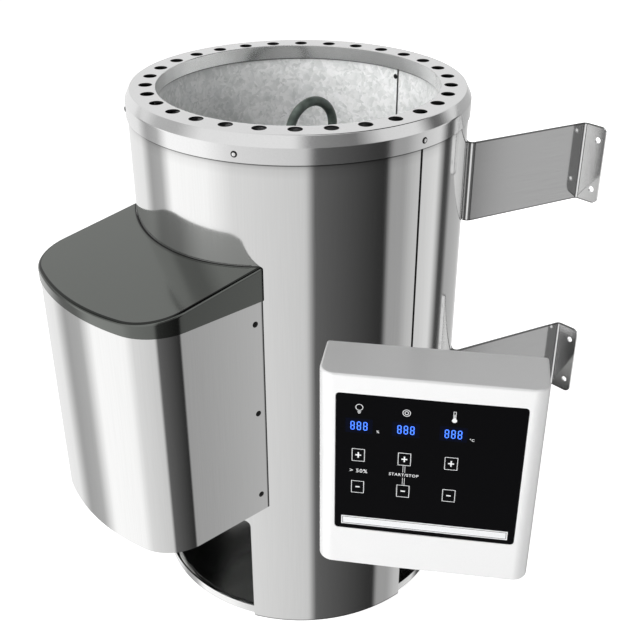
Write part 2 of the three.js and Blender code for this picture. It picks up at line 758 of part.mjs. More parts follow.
function boxFloor() {
  const plan = { ...inset(boxPlan, SHEET + GAP), drumR: BOX_BACK_R };
  const plate = upright(bowedPlan(plan), FLOOR_Z, FLOOR_Z + SHEET);
  const holes = glandPlaces.map(({ x, y }) => rodZ(GLAND_THREAD_R + GAP, x, y, FLOOR_Z - 1, FLOOR_Z + 3));
  const neck = rodZ(LIMITER_NECK_R + GAP, limiterPlace.x, limiterPlace.y, FLOOR_Z - 1, FLOOR_Z + 3);
  return cut(plate, [...holes, neck]);
}

add(stove, "box_floor", boxFloor(), satin);

// Angle strips on the drum that take the screws of the box's sides
function boxFlange(side) {
  const outer = BOX_HALF_W - SHEET - GAP;
  const azimuth = THREE.MathUtils.radToDeg(Math.asin(outer / (BOX_BACK_R + SHEET)));
  const [z0, z1] = [FLOOR_Z + 2 * SHEET, BOX_TOP_Z - LID_LIP_H - 3 * GAP];
  const [from, to] = [azimuth - BOX_FLANGE_ARC, azimuth];
  const foot =
    side > 0
      ? sector(BOX_BACK_R, BOX_BACK_R + SHEET, from, to, z0, z1)
      : sector(BOX_BACK_R, BOX_BACK_R + SHEET, -to, -from, z0, z1);
  const [near, far] = [side * (outer - SHEET), side * outer];
  const wing = box(
    Math.min(near, far),
    Math.max(near, far),
    boxSideY - BOX_FLANGE_W,
    boxSideY + 5,
    z0,
    z1,
  );
  return cut(join([foot, cut(wing, [drumBy(GAP, z0 - 1, z1 + 1)])]), boxScrewHoles);
}

add(stove, "box_flange_left", boxFlange(-1), satin);
add(stove, "box_flange_right", boxFlange(1), satin);
[-1, 1].forEach((side) => {
  boxScrewZ.forEach((z, i) => {
    const facing = screw().rotateZ((side * Math.PI) / 2);
    const placed = solid(facing.translate(side * (BOX_HALF_W + SCREW_SEAT), boxScrewY, z));
    add(stove, `box_screw_${side < 0 ? "left" : "right"}_${i + 1}`, placed, plainSteel);
  });
});

// The lid slopes to the front, has a rounded edge and hugs the drum
function lidBody(by, lift, round, bottom) {
  const drumR = BOX_BACK_R + by;
  const outline = (extra) => {
    const plan = inset(boxPlan, by - LID_OVERHANG + extra);
    return cornersOf(bowedPlan({ ...plan, drumR }), 5);
  };
  const fall = (LID_BACK_H - LID_FRONT_H) / (BOX_FRONT + boxSideY);
  const topAt = (y) => BOX_TOP_Z + LID_BACK_H + (y - boxSideY) * fall - lift;
  const ring = (extra, height) => outline(extra).map((p) => new THREE.Vector3(p.x, p.y, height(p.y)));
  const rings = [ring(0, () => bottom)];
  for (let step = 0; step <= 3; step += 1) {
    const angle = (step * Math.PI) / 6;
    const drop = round * (1 - Math.sin(angle));
    rings.push(ring(round * (1 - Math.cos(angle)), (y) => topAt(y) - drop));
  }
  return loft(rings);
}

function boxLid() {
  const bottom = BOX_TOP_Z + GAP;
  const skin = lidBody(0, 0, LID_ROUND, bottom);
  const hollow = lidBody(LID_WALL, LID_WALL, LID_ROUND - LID_WALL, bottom + LID_LEDGE);
  const lipPlan = { ...inset(boxPlan, SHEET + GAP), drumR: BOX_BACK_R + LID_LIP };
  const mouthPlan = { ...inset(lipPlan, LID_LIP), drumR: BOX_BACK_R + 2 * LID_LIP };
  const lipBottom = BOX_TOP_Z - LID_LIP_H;
  const lip = upright(bowedPlan(lipPlan), lipBottom, bottom + LID_LEDGE / 2);
  const mouth = upright(bowedPlan(mouthPlan), lipBottom - 1, bottom + LID_LEDGE + 1);
  return cut(join([cut(skin, [hollow]), lip]), [mouth]);
}

add(stove, "box_lid", boxLid(), lidGrey);

// A hat-shaped plate on the drum that steadies the elements and carries the terminal block
function equipmentPlate() {
  const [z0, z1] = [FLOOR_Z + PLATE_MARGIN_Z, BOX_TOP_Z - PLATE_MARGIN_Z];
  const legY = -Math.sqrt(BOX_BACK_R ** 2 - PLATE_HALF_W ** 2);
  const outer = box(-PLATE_HALF_W, PLATE_HALF_W, PLATE_Y, legY + 5, z0, z1);
  const inner = box(-PLATE_HALF_W + SHEET, PLATE_HALF_W - SHEET, PLATE_Y + SHEET, legY + 6, z0 - 1, z1 + 1);
  const holes = elementEnds.map(({ x, z }) =>
    rodY(ELEMENT_D / 2 + GAP, x, z, PLATE_Y - 1, PLATE_Y + SHEET + 1),
  );
  return cut(outer, [inner, drumBy(GAP, z0 - 1, z1 + 1), ...holes]);
}

add(stove, "equipment_plate", equipmentPlate(), satin);

function terminalBlock() {
  const half = (BLOCK_POLES * BLOCK_POLE_PITCH) / 2;
  const back = PLATE_Y - GAP;
  const step = BLOCK_DEPTH * 0.45;
  const profile = new THREE.Shape();
  profile.moveTo(back, BLOCK_Z - BLOCK_HEIGHT / 2);
  profile.lineTo(back - step, BLOCK_Z - BLOCK_HEIGHT / 2);
  profile.lineTo(back - step, BLOCK_Z - BLOCK_HEIGHT / 4);
  profile.lineTo(back - BLOCK_DEPTH * 0.8, BLOCK_Z - BLOCK_HEIGHT / 4);
  profile.lineTo(back - BLOCK_DEPTH * 0.8, BLOCK_Z + BLOCK_HEIGHT / 4);
  profile.lineTo(back - step, BLOCK_Z + BLOCK_HEIGHT / 4);
  profile.lineTo(back - step, BLOCK_Z + BLOCK_HEIGHT / 2);
  profile.lineTo(back, BLOCK_Z + BLOCK_HEIGHT / 2);
  const ribs = Array.from({ length: BLOCK_POLES + 1 }, (_, i) => {
    const x = -half + i * BLOCK_POLE_PITCH;
    const [z0, z1] = [BLOCK_Z - BLOCK_HEIGHT / 2, BLOCK_Z + BLOCK_HEIGHT / 2];
    return box(x - BLOCK_RIB / 2, x + BLOCK_RIB / 2, back - BLOCK_DEPTH, back, z0, z1);
  });
  return join([alongX(profile, -half, half), ...ribs]);
}

add(stove, "terminal_block", terminalBlock(), ceramic);

// The overheat limiter stands on the box's floor; its reset button is reached from below
function limiterBody() {
  const { x, y } = limiterPlace;
  const base = FLOOR_Z + SHEET + GAP;
  const end = FLOOR_Z - LIMITER_NECK_L;
  const can = rodZ(LIMITER_R, x, y, base, base + LIMITER_H, 20);
  const neck = rodZ(LIMITER_NECK_R, x, y, end, base + 1);
  const bore = rodZ(RESET_R + GAP, x, y, end - 1, end - RESET_PROUD + RESET_L + RESET_TRAVEL + 1);
  return cut(join([can, neck]), [bore]);
}

function hexNut(r, bore, x, y, z0, z1) {
  return cut(rodZ(r, x, y, z0, z1, 6), [rodZ(bore, x, y, z0 - 1, z1 + 1)]);
}

function resetButton() {
  const { x, y } = limiterPlace;
  const tip = FLOOR_Z - LIMITER_NECK_L - RESET_PROUD;
  return rodZ(RESET_R, x, y, tip, tip + RESET_L, 14);
}

const nutTop = FLOOR_Z - GAP;
add(stove, "thermal_limiter", limiterBody(), plainSteel);
add(
  stove,
  "limiter_nut",
  hexNut(LIMITER_NUT_R, LIMITER_NECK_R + GAP, limiterPlace.x, limiterPlace.y, nutTop - LIMITER_NUT_H, nutTop),
  plainSteel,
);
add(stove, "reset_button", resetButton(), redPlastic);

// A cable gland that hangs through a plate: a hexagon with a domed cap, a thread and an open bore
function gland(x, y, under, thickness) {
  const top = under + thickness + GAP + LOCKNUT_H + GAP;
  const hexagon = rodZ(GLAND_NUT_R, x, y, under - GAP - GLAND_H * 0.35, under - GAP, 6);
  const profile = [
    [0, under - GAP - GLAND_H],
    [GLAND_NUT_R * 0.62, under - GAP - GLAND_H],
    [GLAND_NUT_R * 0.86, under - GAP - GLAND_H * 0.75],
    [GLAND_NUT_R * 0.86, under - GAP - 1],
    [GLAND_THREAD_R, under - GAP - 1],
    [GLAND_THREAD_R, top],
    [0, top],
  ];
  const points = profile.map(([r, z]) => new THREE.Vector2(r, z));
  const body = solid(new THREE.LatheGeometry(points, 16).rotateX(Math.PI / 2).translate(x, y, 0));
  return cut(join([body, hexagon]), [rodZ(GLAND_BORE_R, x, y, under - 2 * GLAND_H, top + 1, 12)]);
}

const locknut = (x, y, above) => hexNut(GLAND_NUT_R, GLAND_THREAD_R + GAP, x, y, above, above + LOCKNUT_H);

["supply", "control"].forEach((name, i) => {
  const { x, y } = glandPlaces[i];
  add(stove, `cable_gland_${name}`, gland(x, y, FLOOR_Z, SHEET), blackPlastic);
  add(stove, `gland_locknut_${name}`, locknut(x, y, FLOOR_Z + SHEET + GAP), blackPlastic);
});

// Wall brackets: a saddle round the back of the drum, two arms that spread and two wall flanges
function bracketLine() {
  const saddleR = SHELL_R + GAP + STRAP / 2;
  const along = new THREE.Vector2(Math.sin(rad(BRACKET_SPREAD)), Math.cos(rad(BRACKET_SPREAD)));
  const left = new THREE.Vector2(-along.y, along.x);
  const wallY = WALL_Y - STRAP / 2;
  const corner = new THREE.Vector2(BRACKET_BEND_X, wallY);
  const base = corner.clone().addScaledVector(left, BRACKET_ROOT_BEND);
  const reach = saddleR + BRACKET_ROOT_BEND;
  const middle = base.dot(along);
  const shift = Math.sqrt(middle ** 2 - base.lengthSq() + reach ** 2) - middle;
  const bendCentre = base.clone().addScaledVector(along, shift);
  const rootAngle = Math.atan2(bendCentre.y, bendCentre.x);
  const line = [];
  const saddleSteps = 8;
  for (let i = 0; i < saddleSteps; i += 1) {
    const angle = Math.PI / 2 + ((rootAngle - Math.PI / 2) * i) / saddleSteps;
    line.push(new THREE.Vector2(Math.cos(angle), Math.sin(angle)).multiplyScalar(saddleR));
  }
  const bendFrom = rootAngle - Math.PI;
  const bendTo = Math.atan2(-left.y, -left.x);
  for (let i = 0; i <= 4; i += 1) {
    const angle = bendFrom + ((bendTo - bendFrom + 2 * Math.PI) % (2 * Math.PI)) * (i / 4);
    const offset = new THREE.Vector2(Math.cos(angle), Math.sin(angle)).multiplyScalar(BRACKET_ROOT_BEND);
    line.push(bendCentre.clone().add(offset));
  }
  const turn = Math.PI / 2 - rad(BRACKET_SPREAD);
  const trim = BRACKET_WALL_BEND * Math.tan(turn / 2);
  const wallStart = corner.clone().addScaledVector(along, -trim);
  const wallCentre = wallStart.clone().addScaledVector(left, -BRACKET_WALL_BEND);
  for (let i = 0; i <= 3; i += 1) {
    const angle = Math.atan2(left.y, left.x) - (turn * i) / 3;
    const offset = new THREE.Vector2(Math.cos(angle), Math.sin(angle)).multiplyScalar(BRACKET_WALL_BEND);
    line.push(wallCentre.clone().add(offset));
  }
  line.push(new THREE.Vector2(BRACKET_END_X, wallY));
  const mirrored = line
    .slice(1)
    .reverse()
    .map((p) => new THREE.Vector2(-p.x, p.y));
  return [...mirrored, ...line];
}

function wallBracket(z) {
  const [z0, z1] = [z - BRACKET_H / 2, z + BRACKET_H / 2];
  const strap = upright(strapPlan(bracketLine(), STRAP), z0, z1);
  const front = roundedRect(-BRACKET_END_X, BRACKET_END_X, z0, z1, BRACKET_CORNER);
  const flangeHoles = [-1, 1].flatMap((side) =>
    [-0.5, 0.5].map((row) => {
      const holeZ = z + row * BRACKET_HOLE_PITCH;
      return rodY(BRACKET_HOLE_D / 2, side * BRACKET_HOLE_X, holeZ, WALL_Y - 3 * STRAP, WALL_Y + 1);
    }),
  );
  const saddleHoles = bracketScrewPlaces
    .filter((place) => Math.abs(place.z - z) < BRACKET_H / 2)
    .map(({ azimuth, z: holeZ }) => rodOut(HOLE_R, SHELL_R, SHELL_R + 3 * STRAP, azimuth, holeZ));
  const rounded = strap.intersect(alongY(front, 0, WALL_Y + 1));
  return cut(rounded, [...flangeHoles, ...saddleHoles]);
}

add(stove, "bracket_lower", wallBracket(BRACKET_Z[0]), satin);
add(stove, "bracket_upper", wallBracket(BRACKET_Z[1]), satin);
bracketScrewPlaces.forEach(({ azimuth, z, side }) => {
  const name = `bracket_screw_${z === BRACKET_Z[0] ? "lower" : "upper"}_${side < 0 ? "left" : "right"}`;
  add(stove, name, screwOut(SHELL_R + GAP + STRAP, azimuth, z), plainSteel);
});

// Control unit: seated on the drum by the back edge of its hood
const control = new THREE.Group();
const seatAt = new THREE.Vector2(Math.sin(rad(CONTROL_SEAT)), -Math.cos(rad(CONTROL_SEAT)));
const seatEdge = new THREE.Vector2(-CONTROL_W / 2, -WALL_PLATE_T).rotateAround(
  new THREE.Vector2(),
  rad(CONTROL_TURN),
);
const controlAt = seatAt.multiplyScalar(SHELL_R + GAP).sub(seatEdge);
control.position.set(controlAt.x, controlAt.y, CONTROL_Z);
control.rotation.z = rad(CONTROL_TURN);
stove.add(control);

const hoodPlan = {
  halfW: CONTROL_W / 2,
  front: CONTROL_D,
  bowR: HOOD_BOW_R,
  cornerR: HOOD_CORNER,
  back: -WALL_PLATE_T,
};
const rectAbout = (x, z, w, h, r) => roundedRect(x - w / 2, x + w / 2, z - h / 2, z + h / 2, r);
const postPlaces = [-1, 1].flatMap((sx) =>
  [-1, 1].map((sz) => ({
    x: sx * (BOARD_W / 2 - POST_R),
    z: PANEL_MID_Z + sz * (BOARD_H / 2 - POST_R),
  })),
);

// The white hood: a rounded front strip with a cap that reaches back over the housing
function controlHood() {
  const ring = (by, z) =>
    cornersOf(bowedPlan(inset(hoodPlan, by)), 4).map((p) => new THREE.Vector3(p.x, p.y, z));
  const skin = loft([
    ring(HOOD_EDGE, 0),
    ring(0, HOOD_EDGE),
    ring(0, CONTROL_H - HOOD_EDGE),
    ring(HOOD_EDGE, CONTROL_H),
  ]);
  const corePlan = { ...inset(hoodPlan, HOOD_WALL), front: -HOOD_INNER_Y, back: 5 };
  const core = upright(bowedPlan(corePlan), HOOD_WALL, CONTROL_H - HOOD_WALL, 4);
  const cutFront = FRONT_Y + HOOD_STRIP;
  const capZ = CONTROL_H - HOOD_CAP_H;
  const sideCut = alongX(roundedRect(cutFront, 30, -30, capZ, HOOD_CUT_CORNER), -CONTROL_W, CONTROL_W);
  const seat = rectAbout(0, PANEL_MID_Z, PANEL_W + 2 * GAP, PANEL_H + 2 * GAP, PANEL_CORNER + GAP);
  const pocket = alongY(seat, FRONT_Y - 5, PANEL_FRONT_Y + PANEL_T + GAP);
  const openW = PANEL_W - 2 * PANEL_LEDGE;
  const openH = PANEL_H - 2 * PANEL_LEDGE;
  const openShape = rectAbout(0, PANEL_MID_Z, openW, openH, PANEL_CORNER);
  const opening = alongY(openShape, FRONT_Y - 5, HOOD_INNER_Y + 1);
  const posts = postPlaces.map(({ x, z }) => rodY(POST_R, x, z, HOOD_INNER_Y - 1, BOARD_Y - GAP, 10));
  return join([cut(skin, [core, sideCut, pocket, opening]), ...posts]);
}

add(control, "control_hood", controlHood(), whitePlastic);

const keyPlaces = COLUMN_X.flatMap((x) => [
  { x, z: PANEL_MID_Z + PLUS_Z, sign: "plus" },
  { x, z: PANEL_MID_Z + MINUS_Z, sign: "minus" },
]);

// The dark front with openings for the keys and the displays
function controlPanel() {
  const sheet = alongY(
    rectAbout(0, PANEL_MID_Z, PANEL_W, PANEL_H, PANEL_CORNER),
    PANEL_FRONT_Y,
    PANEL_FRONT_Y + PANEL_T,
  );
  const through = (shape) => alongY(shape, PANEL_FRONT_Y - 1, PANEL_FRONT_Y + PANEL_T + 1, 1);
  const keys = keyPlaces.map(({ x, z }) =>
    through(rectAbout(x, z, KEY_W + 2 * GAP, KEY_H + 2 * GAP, KEY_CORNER + GAP)),
  );
  const windows = COLUMN_X.map((x) =>
    through(
      rectAbout(x, PANEL_MID_Z + DISPLAY_Z, DISPLAY_W + 2 * GAP, DISPLAY_H + 2 * GAP, KEY_CORNER + GAP),
    ),
  );
  return cut(sheet, [...keys, ...windows]);
}

add(control, "control_panel", controlPanel(), blackGlass);
const columnNames = ["light", "timer", "heat"];
columnNames.forEach((name, i) => {
  const face = rectAbout(COLUMN_X[i], PANEL_MID_Z + DISPLAY_Z, DISPLAY_W, DISPLAY_H, KEY_CORNER);
  const display = alongY(face, PANEL_FRONT_Y + GAP, PANEL_FRONT_Y + GAP + DISPLAY_DEPTH, 1);
  add(control, `display_${name}`, display, blueDisplay);
});

const keyBackY = PANEL_FRONT_Y - KEY_PROUD + KEY_DEPTH;
keyPlaces.forEach(({ x, z, sign }) => {
  const pad = alongY(rectAbout(x, z, KEY_W, KEY_H, KEY_CORNER), PANEL_FRONT_Y - KEY_PROUD, keyBackY, 1);
  add(control, `key_${columnNames[COLUMN_X.indexOf(x)]}_${sign}`, pad, blackGlass);
});

// The key switches are soldered to the front board
function controlBoard() {
  const shape = rectAbout(0, PANEL_MID_Z, BOARD_W, BOARD_H, POST_R);
  const switches = keyPlaces.map(({ x, z }) => {
    const half = SWITCH_SIZE / 2;
    const body = box(x - half, x + half, BOARD_Y - SWITCH_T, BOARD_Y + BOARD_T / 2, z - half, z + half);
    return body.add(rodY(PLUNGER_R, x, z, keyBackY + KEY_TRAVEL + GAP, BOARD_Y, 8));
  });
  return join([alongY(shape, BOARD_Y, BOARD_Y + BOARD_T), ...switches]);
}

add(control, "control_board", controlBoard(), greenBoard);

// The black housing: an open tray whose sides are ribbed from bottom to top
function controlBody() {
  const pitch = (BODY_TOP - BODY_BOTTOM) / BODY_RIBS;
  const valley = BODY_HALF_W - BODY_RIB_DEPTH;
  const crest = BODY_HALF_W + BODY_RIB_DEPTH;
  const outline = new THREE.Shape();
  outline.moveTo(valley, BODY_BOTTOM);
  for (let i = 0; i < BODY_RIBS; i += 1) {
    const z = BODY_BOTTOM + i * pitch;
    outline.quadraticCurveTo(crest, z + pitch / 2, valley, z + pitch);
  }
  outline.lineTo(-valley, BODY_TOP);
  for (let i = BODY_RIBS; i > 0; i -= 1) {
    const z = BODY_BOTTOM + i * pitch;
    outline.quadraticCurveTo(-crest, z - pitch / 2, -valley, z - pitch);
  }
  const tray = alongY(outline, BODY_FRONT, BODY_BACK, 2);
  const hollow = box(
    -valley + BODY_WALL,
    valley - BODY_WALL,
    BODY_FRONT - 1,
    BODY_BACK - BODY_WALL,
    BODY_BOTTOM + BODY_WALL,
    BODY_TOP - BODY_WALL,
  );
  const posts = powerPosts.map(({ x, z }) =>
    rodY(POST_R, x, z, POWER_FRONT + BOARD_T + GAP, BODY_BACK - BODY_WALL + 1, 10),
  );
  return join([cut(tray, [hollow, cableOpening()]), ...posts]);
}

const POWER_FRONT = BODY_BACK - BODY_WALL - POWER_STAND_OFF - BOARD_T;
const POWER_MID_Z = CONTROL_H - HOOD_CAP_H - POWER_BOARD_H / 2 - BODY_WALL;
const powerPosts = [-1, 1].flatMap((sx) =>
  [-1, 1].map((sz) => ({
    x: sx * (POWER_BOARD_W / 2 - POST_R),
    z: POWER_MID_Z + sz * (POWER_BOARD_H / 2 - POST_R),
  })),
);
// The cables of the control come out of the wall through its back
const cableOpening = () =>
  alongY(rectAbout(0, CABLE_Z, CABLE_W, CABLE_H, CABLE_CORNER), BODY_BACK - 2 * BODY_WALL, 1);

add(control, "control_body", controlBody(), blackPlastic);
const plateShape = rectAbout(0, CONTROL_H / 2, WALL_PLATE_W, WALL_PLATE_H, WALL_PLATE_CORNER);
const wallPlate = cut(alongY(plateShape, -WALL_PLATE_T, 0), [cableOpening()]);
add(control, "control_wall_plate", wallPlate, plainSteel);

// Power side of the control: a board on posts, with its relays and its row of terminals soldered on
function powerBoard() {
  const shape = rectAbout(0, POWER_MID_Z, POWER_BOARD_W, POWER_BOARD_H, POST_R);
  const mount = POWER_FRONT + BOARD_T / 2;
  const relayTop = POWER_MID_Z + POWER_BOARD_H / 2 - 4 * POST_R;
  const relays = [-1, 0, 1].map((i) => {
    const x = i * RELAY_PITCH;
    const [x0, x1] = [x - RELAY_W / 2, x + RELAY_W / 2];
    return box(x0, x1, POWER_FRONT - RELAY_T, mount, relayTop - RELAY_H, relayTop);
  });
  const stripZ = POWER_MID_Z - POWER_BOARD_H / 2 + 4 * POST_R;
  const strip = box(-STRIP_W / 2, STRIP_W / 2, POWER_FRONT - STRIP_T, mount, stripZ, stripZ + STRIP_H);
  return join([alongY(shape, POWER_FRONT, POWER_FRONT + BOARD_T), strip, ...relays]);
}

add(control, "power_board", powerBoard(), greenBoard);

export default stove;
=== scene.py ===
"""Looks of a round electric sauna heater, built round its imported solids."""

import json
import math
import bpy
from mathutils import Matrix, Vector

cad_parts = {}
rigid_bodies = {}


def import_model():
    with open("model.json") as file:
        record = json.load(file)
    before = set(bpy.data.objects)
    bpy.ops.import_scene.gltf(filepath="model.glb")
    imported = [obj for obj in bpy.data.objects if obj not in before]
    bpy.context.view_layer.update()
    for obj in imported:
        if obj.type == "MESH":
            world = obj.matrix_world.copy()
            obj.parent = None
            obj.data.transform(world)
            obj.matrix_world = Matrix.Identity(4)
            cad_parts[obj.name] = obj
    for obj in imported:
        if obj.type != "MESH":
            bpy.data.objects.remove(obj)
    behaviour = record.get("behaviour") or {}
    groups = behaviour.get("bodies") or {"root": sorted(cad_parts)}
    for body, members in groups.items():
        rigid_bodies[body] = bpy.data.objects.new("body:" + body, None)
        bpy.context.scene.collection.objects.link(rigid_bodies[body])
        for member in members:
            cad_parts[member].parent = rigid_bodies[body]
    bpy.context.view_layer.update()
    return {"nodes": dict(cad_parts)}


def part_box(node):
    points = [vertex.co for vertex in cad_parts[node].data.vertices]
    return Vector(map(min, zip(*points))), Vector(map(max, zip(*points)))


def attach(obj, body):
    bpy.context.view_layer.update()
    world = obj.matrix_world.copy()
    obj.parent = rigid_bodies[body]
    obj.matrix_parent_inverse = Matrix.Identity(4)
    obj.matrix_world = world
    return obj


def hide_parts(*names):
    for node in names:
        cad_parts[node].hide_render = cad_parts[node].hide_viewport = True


bl_info = {
    "name": "Sauna heater",
    "version": (1, 0, 0),
    "blender": (4, 5, 0),
    "location": "3D View > Sidebar > Heater",
    "description": "Builds the visible pieces of a round electric sauna heater and its control unit",
    "category": "Add Mesh",
}

import bmesh
import bpy
from mathutils import Matrix, Vector

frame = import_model()

ROOT = "stove"
MM = 0.001


class HeaterSizes(bpy.types.PropertyGroup):
    """Sizes of the visible pieces, in metres."""

    def length(name, text, default):
        return bpy.props.FloatProperty(
            name=name, description=text, default=default, unit="LENGTH", precision=4
        )

    def angle(name, text, degrees):
        return bpy.props.FloatProperty(
            name=name, description=text, default=math.radians(degrees), subtype="ANGLE"
        )

    height: length("Height", "Height of the stove over the floor", 0.498)
    shell_radius: length("Shell radius", "Outer radius of the drum", 0.150)
    sheet: length("Sheet", "Thickness of the stainless sheet", 0.0012)
    clearance: length("Clearance", "Gap between neighbouring sheets", 0.0003)
    shell_top: length("Shell top", "Upper edge of the shell under the ring", 0.4884)
    inlet_height: length("Inlet height", "Height of the air inlets", 0.120)
    inlet_corner: length("Inlet corner", "Corner radius of the air inlets", 0.006)
    first_seam: angle("First seam", "Azimuth of the first seam of the shell", -30)
    leg_corner: length("Leg corner", "Corner radius of the legs at the floor", 0.002)
    leg_arc: angle("Leg arc", "Arc that each leg takes", 60)
    lap_arc: angle("Lap arc", "Arc that a panel reaches behind the next", 4)
    mouth_radius: length("Mouth radius", "Inner radius of the top ring", 0.1245)
    collar_height: length("Collar", "Height of the ring's collar", 0.0225)
    chamfer_height: length("Chamfer height", "Height of the ring's chamfer", 0.009)
    chamfer_width: length("Chamfer width", "Width of the ring's chamfer", 0.0045)
    skirt_height: length("Skirt", "Height of the ring's inner skirt", 0.0125)
    vent_radius: length("Vent radius", "Radius of a vent hole", 0.006)
    vent_circle: length("Vent circle", "Radius of the circle of vents", 0.1331)
    vent_count: bpy.props.IntProperty(
        name="Vents", description="Number of vent holes in the ring", default=30, min=3
    )
    chamber_floor: length("Chamber floor", "Height of the stone chamber's floor", 0.140)
    liner_sheet: length("Liner sheet", "Thickness of the liner", 0.001)
    pan_rim: length("Pan rim", "Height of the base pan's rim", 0.011)
    rod_diameter: length("Element diameter", "Diameter of a heating element", 0.0085)
    rod_pitch: length("Element pitch", "Distance between the elements", 0.045)
    rod_span: length("Element span", "Distance between an element's legs", 0.052)
    rod_set_back: length("Element set-back", "Middle of the elements behind the axis", 0.015)
    rod_bend: length("Element bend", "Radius of an element's lower bends", 0.014)
    rod_low: length("Lower run", "Height of the elements' lower run", 0.166)
    rod_rise: length("Run rise", "Distance between the two runs", 0.026)
    rod_top: length("Middle top", "Top of the middle element", 0.476)
    rod_side_top: length("Side top", "Top of the outer elements", 0.420)
    rod_end: length("Cold end", "End of the elements in front of the axis", 0.1803)
    box_half: length("Box half width", "Half the width of the connection box", 0.0911)
    box_front: length("Box front", "Front of the box before the axis", 0.246)
    box_bow: length("Box bow", "Radius of the bowed front", 0.213)
    box_corner: length("Box corner", "Radius of the front corners", 0.042)
    box_bottom: length("Box bottom", "Lower edge of the box", 0.1428)
    box_top: length("Box top", "Upper edge of the box", 0.3576)
    lid_back: length("Lid back", "Height of the lid at the drum", 0.031)
    lid_front: length("Lid front", "Height of the lid at the front", 0.0105)
    lid_round: length("Lid round", "Radius of the lid's edge", 0.003)
    lid_over: length("Lid overhang", "Overhang of the lid", 0.0008)
    control_turn: angle("Control turn", "Turn of the control unit", 39)
    control_x: length("Control X", "Back of the control unit, across", 0.196223)
    control_y: length("Control Y", "Back of the control unit, along", -0.021934)
    control_z: length("Control Z", "Underside of the control unit", 0.125)
    panel_front: length("Panel front", "Front of the panel before the unit's back", 0.0531)
    panel_middle: length("Panel middle", "Middle of the panel over the unit's underside", 0.1095)
    screw_radius: length("Screw radius", "Radius of a screw's flange", 0.0027)
    screw_shank: length("Screw shank", "Radius of a screw's shank", 0.0018)
    screw_length: length("Screw length", "Length of a screw's shank", 0.007)
    strap: length("Strap", "Thickness of a bracket", 0.002)
    key_proud: length("Key proud", "Height of the keys over the panel", 0.0003)


class HeaterColours(bpy.types.PropertyGroup):
    """Colours of the finishes."""

    def colour(name, text, default):
        return bpy.props.FloatVectorProperty(
            name=name, description=text, default=default, size=3, subtype="COLOR", min=0, max=1
        )

    steel: colour("Steel", "Polished stainless sheet", (0.785, 0.785, 0.78))
    ring: colour("Ring", "Pressed steel of the top ring", (0.78, 0.78, 0.78))
    zinc: colour("Zinc", "Galvanised liner", (0.86, 0.88, 0.87))
    bracket: colour("Bracket", "Polished steel of the brackets", (0.92, 0.92, 0.92))
    screw: colour("Screw", "Dark screws and rivets", (0.02, 0.02, 0.02))
    sheath: colour("Sheath", "Oxidised sheath of the elements", (0.085, 0.105, 0.093))
    lid: colour("Lid", "Dark grey-green lid", (0.158, 0.166, 0.156))
    hood: colour("Hood", "White moulded hood", (0.86, 0.86, 0.86))
    black: colour("Black", "Black moulded plastic", (0.012, 0.012, 0.012))
    glass: colour("Glass", "Dark front panel", (0.002, 0.002, 0.0025))
    digits: colour("Digits", "Lit digits", (0.045, 0.16, 0.85))
    ink: colour("Ink", "Printed signs", (0.86, 0.87, 0.88))
    board: colour("Board", "Circuit board", (0.02, 0.14, 0.06))
    floor: colour("Floor", "Studio floor", (0.80, 0.80, 0.80))


def sizes():
    return bpy.context.scene.heater_sizes


def colours():
    return bpy.context.scene.heater_colours


